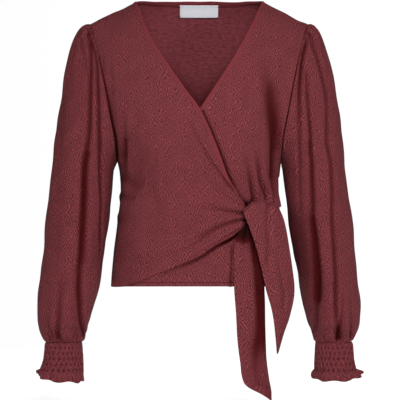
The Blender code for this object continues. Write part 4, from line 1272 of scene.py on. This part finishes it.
def closed_roll(name, grid, flat, finish):
    """Closed tube of a grid of rings, with flat caps of short fans at its two ends."""
    rows, columns = grid.shape[:2]
    index = np.arange(rows * columns).reshape(rows, columns)
    index = np.concatenate((index, index[:, :1]), axis=1)
    quads = np.stack((index[:-1, :-1], index[:-1, 1:], index[1:, 1:], index[1:, :-1]), -1)
    quads = quads.reshape(-1, 4)
    points, outward = grid.reshape(-1, 3), from_middle(grid).reshape(-1, 3)
    turned = 1 if facing_out(quads, points, outward) else -1
    caps = []
    for end, centre, way in ((0, rows * columns, 1), (-1, rows * columns + 1, -1)):
        ring = index[end, :-1]
        fan = np.stack((np.roll(ring, -1), ring, np.full(columns, centre)), -1)
        caps.append(fan[:, ::way * turned])
    caps = np.concatenate(caps)
    quads = quads[:, ::turned]
    points = np.concatenate((points, grid[[0, -1]].mean(1)))
    maps = np.concatenate((flat.reshape(-1, 2), flat[[0, -1], 0]))
    marks = {"stitch_line": np.full(len(points), NO_STITCH), "painted_shade_depth": np.zeros(len(points))}
    return add_piece(name, points, [quads, caps],
                     maps[np.concatenate((quads.ravel(), caps.ravel()))], marks, [finish])


def binding(name, edge, within, normal, width):
    """Binding: a closed rounded profile carried along the edge; it bulges where it turns round the
    edge and dips at its stitching. within is a point on the panel for each one of the edge."""
    drop = bpy.context.scene.wrap_top_sizes.cloth / MM / 2
    profile = along(BINDING_PROFILE + BINDING_PROFILE[:1], np.linspace(0, 1, 37))[:-1]
    grid = (edge[:, None] + width * profile[None, :, :1] * unit(within - edge)[:, None]
            + (profile[None, :, 1:] - drop) * normal[:, None])
    flat = np.stack(np.broadcast_arrays(np.arange(len(profile)) * 0.5,
                                        lengths_along(edge)[:, None]), -1)
    piece = closed_roll("neck_binding_" + name, grid, flat, "jersey_binding_stitched")
    declare(piece, ["neck_edge_" + name])


def behind_wide_tie(points, share, down):
    """How deep in shade the long tie lies: at its top below the knot, along the wide tie's left
    edge, and in the third that is folded back."""
    by_knot, beside, folded = BEHIND_TIE_SHADE
    edge = through(np.asarray(TIE_WIDE)[:, (0, 2)], points[..., 2])[..., 0]
    third = folded * smooth(share + 0.3 * smooth(down, 165, 225), 0.5, 1.05)
    return np.maximum.reduce([by_knot * (1 - smooth(down, 20, 42)),
                              beside * smooth(points[..., 0] - edge, -20, -1),
                              third * (1 - 0.75 * smooth(down, 160, 245))])


def tie_end(name, table, rows_of, bow, arch, shade_of, node_name):
    """Tie end: a strip between two edge lines through the table, bowed across as a half sine, and
    arched the same way in height near its top, with creases and slow unevenness."""
    sizes = bpy.context.scene.wrap_top_sizes
    table = np.asarray(table, float)
    left, right = table[:, (2, 4, 0)], table[:, (3, 5, 1)]
    down = np.linspace(0, 1, TIE_ROWS + 1)
    left, right = along(left, down), along(right, down)
    share = np.linspace(0, 1, TIE_COLUMNS + 1)[None, :, None]
    points = left[:, None] + (right - left)[:, None] * share
    half_sine = np.sin(np.pi * share[..., 0])
    points[..., 1] -= bow * half_sine
    points[..., 2] += arch * (half_sine - 0.5) * (1 - smooth(down, 0.03, 0.2))[:, None]
    outward = points - np.array(TIE_INSIDE)
    normal = grid_normals(points, outward)
    down_length = distance_from(points, "top")
    across_length = distance_from(points, "first")
    width = across_length[:, -1].mean()
    rows = [(*numbers, np.asarray(line, float) * (width, 1)) for *numbers, line in rows_of]
    scaled = across_length / np.maximum(across_length[:, -1:], 1) * width
    rise = creases(scaled, down_length, rows, sizes.fold_strength)
    # painted shade in the creases and, on the long tie, below the knot, beside the wide tie and in
    # its folded third
    painted_shade = np.maximum(-rise, 0) + shade_of(points, share[..., 0], down_length)
    place = np.stack((across_length, down_length, painted_shade), -1)
    rise += WAVE_SHARE * waves(across_length + 300, down_length)
    points = points + rise[..., None] * normal
    normal = grid_normals(points, outward)
    piece = cloth_object(name, points, normal, place, TIE_PLY * sizes.cloth, OUTER)
    declare(piece, [node_name])


def knot_roll():
    """Rolled knot: rings of an ellipse carried along a short path, creased along it."""
    rows = along(KNOT_PATH, np.linspace(0, 1, KNOT_RINGS), places=3)
    turn = np.linspace(0, 2 * np.pi, KNOT_COLUMNS, endpoint=False)
    heading = unit(np.gradient(rows[:, :2], axis=0))
    out = np.column_stack((heading[:, 1], -heading[:, 0]))
    crimp = 1.0
    for share, count, phase in KNOT_CRIMPS:
        crimp = crimp + share * np.cos(count * turn + phase)
    across = rows[:, 3:4] * np.cos(turn) * crimp
    grid = np.stack((rows[:, :1] + across * out[:, :1], rows[:, 1:2] + across * out[:, 1:],
                     rows[:, 2:3] + rows[:, 4:5] * np.sin(turn) * crimp), -1)
    flat = np.stack(np.broadcast_arrays(turn * 10, np.arange(len(rows))[:, None] * 1.0), -1)
    declare(closed_roll("knotted_roll", grid, flat, *OUTER), ["knot"])


# ---------------------------------------------------------------- operators

def creases_only(rows):
    """A rise that has nothing but the creases of a table, for a panel with no layers."""
    def rise_of(grid, points, strength):
        return 0.0, creases(points[..., 0], points[..., 2], rows, strength)
    return rise_of


class WRAPTOP_OT_back(bpy.types.Operator):
    """Makes the back from armhole to armhole"""

    bl_idname = "wraptop.back"
    bl_label = "Back"

    def execute(self, context):
        panel("jersey_back", back_grid(), creases_only(CREASES_BACK), ("first", "last"), "back",
              back=True)
        return {"FINISHED"}


class WRAPTOP_OT_fronts(bpy.types.Operator):
    """Makes the two fronts, one wrapped over the other"""

    bl_idname = "wraptop.fronts"
    bl_label = "Fronts"

    def execute(self, context):
        panel("jersey_front_over", front_over_grid(), over_rise, ("first",), "front_over")
        panel("jersey_front_under", front_under_grid(), under_rise, ("first",), "front_under")
        return {"FINISHED"}


class WRAPTOP_OT_sleeves(bpy.types.Operator):
    """Makes both full sleeves with their creases"""

    bl_idname = "wraptop.sleeves"
    bl_label = "Sleeves"

    def execute(self, context):
        for name, side in SIDES.items():
            sleeve(name, side)
        return {"FINISHED"}


class WRAPTOP_OT_cuffs(bpy.types.Operator):
    """Makes both shirred cuffs with their ruffles"""

    bl_idname = "wraptop.cuffs"
    bl_label = "Cuffs"

    def execute(self, context):
        for name, side in SIDES.items():
            cuff(name, side)
        return {"FINISHED"}


class WRAPTOP_OT_neck_edges(bpy.types.Operator):
    """Binds the neck edge of both fronts and the back"""

    bl_idname = "wraptop.neck_edges"
    bl_label = "Neck Edges"

    def execute(self, context):
        for name, grid, rise_of, rows in (("over", front_over_grid(), over_rise, EDGE_STEPS),
                                          ("under", front_under_grid(), under_rise,
                                           UNDER_EDGE_STEPS)):
            points, normal = panel_edge(grid, rise_of)
            binding(name, points[:rows, -1], points[:rows, -4], normal[:rows, -1], EDGE_BAND)
        neck = slice(SHOULDER_COLUMNS, SHOULDER_COLUMNS + BACK_NECK_COLUMNS + 1)
        points, normal = panel_edge(back_grid(), creases_only(CREASES_BACK), back=True)
        binding("back", points[0, neck], points[3, neck], normal[0, neck], BACK_BAND)
        return {"FINISHED"}


class WRAPTOP_OT_label(bpy.types.Operator):
    """Makes the plain label inside the back neck"""

    bl_idname = "wraptop.label"
    bl_label = "Label"

    def execute(self, context):
        width, high = LABEL_SIZE
        x, drop = np.meshgrid(np.linspace(-width / 2, width / 2, 61), np.linspace(0, high, 25))
        z = BACK_NECK - LABEL_DROP - drop
        points = torso(angle_at(x, z), z, back=True)
        outward = -facing(back=True)
        normal = grid_normals(points, outward)
        ends = bell(np.abs(x), LABEL_ENDS, width / 2) * smooth(drop, 0, 6)
        lift = LABEL_STANDOFF + LABEL_LEAN * smooth(drop, 2, high) - ends
        points = points + lift[..., None] * normal
        normal = grid_normals(points, outward)
        flat = np.stack((x, drop, 0 * x), -1)
        piece = cloth_object("satin_label", points, normal, flat, LABEL_CLOTH,
                             ("satin_ribbon_white",))
        declare(piece, ["label"])
        return {"FINISHED"}


class WRAPTOP_OT_ties(bpy.types.Operator):
    """Makes the knot and its two tie ends"""

    bl_idname = "wraptop.ties"
    bl_label = "Knot and Ties"

    def execute(self, context):
        knot_roll()
        tie_end("wide_tie_end", TIE_WIDE, CREASES_WIDE, 6, 14, lambda *place: 0.0, "tie_wide")
        tie_end("long_tie_end", TIE_LONG, CREASES_LONG, 3, 0, behind_wide_tie, "tie_long")
        return {"FINISHED"}


# ---------------------------------------------------------------- stage

CAMERA_PLACE = (0.0017, -5.0, -0.339)
CAMERA_HALF_WIDTH = 0.3425      # half of what the camera sees across at the origin
FLOOR_HEIGHT = -0.70
FLOOR_RADIUS = 2.4
BACKDROP = (
    # part of the direction, its start and end, and the share of light there
    ("Z", -0.50, -0.07, 0.62, 1.0), ("Z", 0.06, 0.26, 1.0, 0.25), ("X", -0.9, 0.5, 0.7, 1.15),
)
LIGHTS = (
    # name, place, aim, width, height, watts, spread in degrees
    ("key", (0.3, -3.4, 1.0), (0, 0, -0.3), 1.1, 1.1, 6.3, 40),
    ("right", (2.5, -2.5, 0.3), (0, 0, -0.35), 1.1, 1.1, 2.1, 40),
    ("left", (-2.5, -2.5, 0.3), (0, 0, -0.35), 1.1, 1.1, 1.9, 40),
    ("back", (0.6, 3.0, 2.1), (0, 0.3, -0.4), 1.4, 1.2, 150.0, 180),
)


def studio_floor(colours):
    """Matt painted floor, a disc whose rim fades out into the backdrop."""
    steps = 96
    turn = np.linspace(0, 2 * np.pi, steps, endpoint=False)
    radii = np.linspace(0.02, FLOOR_RADIUS, 24)[:, None]
    ring = np.stack(np.broadcast_arrays(radii * np.cos(turn), radii * np.sin(turn), FLOOR_HEIGHT),
                    -1).reshape(-1, 3)
    index = np.arange(len(ring)).reshape(len(radii), steps)
    index = np.concatenate((index, index[:, :1]), axis=1)
    quads = np.stack((index[:-1, :-1], index[1:, :-1], index[1:, 1:], index[:-1, 1:]), -1)
    mesh = bpy.data.meshes.new("studio_floor")
    mesh.from_pydata(ring.tolist(), [], [*quads.reshape(-1, 4).tolist(), index[0, :-1].tolist()])
    finish, tree, shader = new_finish("matt_floor_paint", roughness=0.9)
    place = node(tree, "TexCoord").outputs["Object"]
    grain = node(tree, "TexNoise", Vector=place, Scale=1 / 0.02, Detail=2.0)
    shade = node(tree, "Mix", data_type="RGBA", Factor=grain,
                 _6=(*(0.985 * share for share in colours.floor), 1), _7=(*colours.floor, 1))
    radius = node(tree, "VectorMath", operation="LENGTH", _0=place)
    cover = node(tree, "MapRange", interpolation_type="SMOOTHSTEP", Value=radius,
                 From_Min=0.3 * FLOOR_RADIUS, From_Max=0.98 * FLOOR_RADIUS, To_Min=1.0,
                 To_Max=0.0)
    plug(tree, shade, shader.inputs["Base Color"])
    plug(tree, cover, shader.inputs["Alpha"])
    mesh.materials.append(finish)
    floor = bpy.data.objects.new("studio_floor", mesh)
    bpy.context.scene.collection.objects.link(floor)
    return floor


def backdrop(colours):
    """World light: pale paper all round, dimmer on the wearer's right, below and overhead."""
    world = bpy.data.worlds.new("studio")
    world.use_nodes = True
    tree = world.node_tree
    shine = tree.nodes["Background"]
    direction = node(tree, "TexCoord").outputs["Generated"]
    parts = node(tree, "SeparateXYZ", Vector=direction)
    light = 1.0
    for axis, start, end, first, last in BACKDROP:
        share = node(tree, "MapRange", interpolation_type="SMOOTHSTEP",
                     Value=parts.outputs[axis], From_Min=start, From_Max=end, To_Min=first,
                     To_Max=last)
        light = node(tree, "Math", operation="MULTIPLY", _0=light, _1=share)
    shine.inputs["Color"].default_value = (1, 1, 1, 1)
    plug(tree, light, shine.inputs["Strength"])
    world.cycles_visibility.glossy = False      # only the lamps shine on the cloth
    bpy.context.scene.world = world


def aimed(piece, place, aim):
    """Puts a light or camera at a place, looking at another."""
    piece.location = place
    piece.rotation_euler = (Vector(aim) - Vector(place)).to_track_quat("-Z", "Y").to_euler()
    bpy.context.scene.collection.objects.link(piece)
    return piece


class WRAPTOP_OT_stage(bpy.types.Operator):
    """Makes the floor, the backdrop, the soft lights and the camera"""

    bl_idname = "wraptop.stage"
    bl_label = "Stage"

    def execute(self, context):
        colours = context.scene.wrap_top_colours
        studio_floor(colours)
        backdrop(colours)
        for name, place, aim, width, height, watts, spread in LIGHTS:
            light = bpy.data.lights.new(name, "AREA")
            light.shape = "RECTANGLE"
            light.size, light.size_y, light.energy = width, height, watts
            light.spread = math.radians(spread)
            lamp = aimed(bpy.data.objects.new(name, light), place, aim)
            lamp.visible_glossy = name == "key"
        camera = bpy.data.cameras.new("camera")
        camera.angle = 2 * math.atan(CAMERA_HALF_WIDTH / -CAMERA_PLACE[1])
        x, y, z = CAMERA_PLACE
        context.scene.camera = aimed(bpy.data.objects.new("camera", camera), CAMERA_PLACE,
                                     (x, 0, z))
        context.scene.view_settings.view_transform = "Standard"
        return {"FINISHED"}


PIECES = (WRAPTOP_OT_back, WRAPTOP_OT_fronts, WRAPTOP_OT_sleeves, WRAPTOP_OT_cuffs,
          WRAPTOP_OT_neck_edges, WRAPTOP_OT_label, WRAPTOP_OT_ties, WRAPTOP_OT_stage)


class WRAPTOP_PT_pieces(bpy.types.Panel):
    """Lists the sizes, the colours and the pieces"""

    bl_idname = "WRAPTOP_PT_pieces"
    bl_label = "Wrap Top"
    bl_space_type = "VIEW_3D"
    bl_region_type = "UI"
    bl_category = "Wrap Top"

    def draw(self, context):
        for group in (context.scene.wrap_top_sizes, context.scene.wrap_top_colours):
            box = self.layout.box()
            for name in group.bl_rna.properties.keys():
                if name not in ("rna_type", "name"):
                    box.prop(group, name)
        column = self.layout.column()
        for operator in PIECES:
            column.operator(operator.bl_idname)


CLASSES = (WrapTopSizes, WrapTopColours, *PIECES, WRAPTOP_PT_pieces)


def register():
    for kind in CLASSES:
        bpy.utils.register_class(kind)
    bpy.types.Scene.wrap_top_sizes = PointerProperty(type=WrapTopSizes)
    bpy.types.Scene.wrap_top_colours = PointerProperty(type=WrapTopColours)


def unregister():
    del bpy.types.Scene.wrap_top_colours
    del bpy.types.Scene.wrap_top_sizes
    for kind in reversed(CLASSES):
        bpy.utils.unregister_class(kind)


def main():
    """Makes every piece and the stage."""
    register()
    for operator in PIECES:
        group, name = operator.bl_idname.split(".")
        getattr(getattr(bpy.ops, group), name)()


if __name__ == "__main__":
    main()
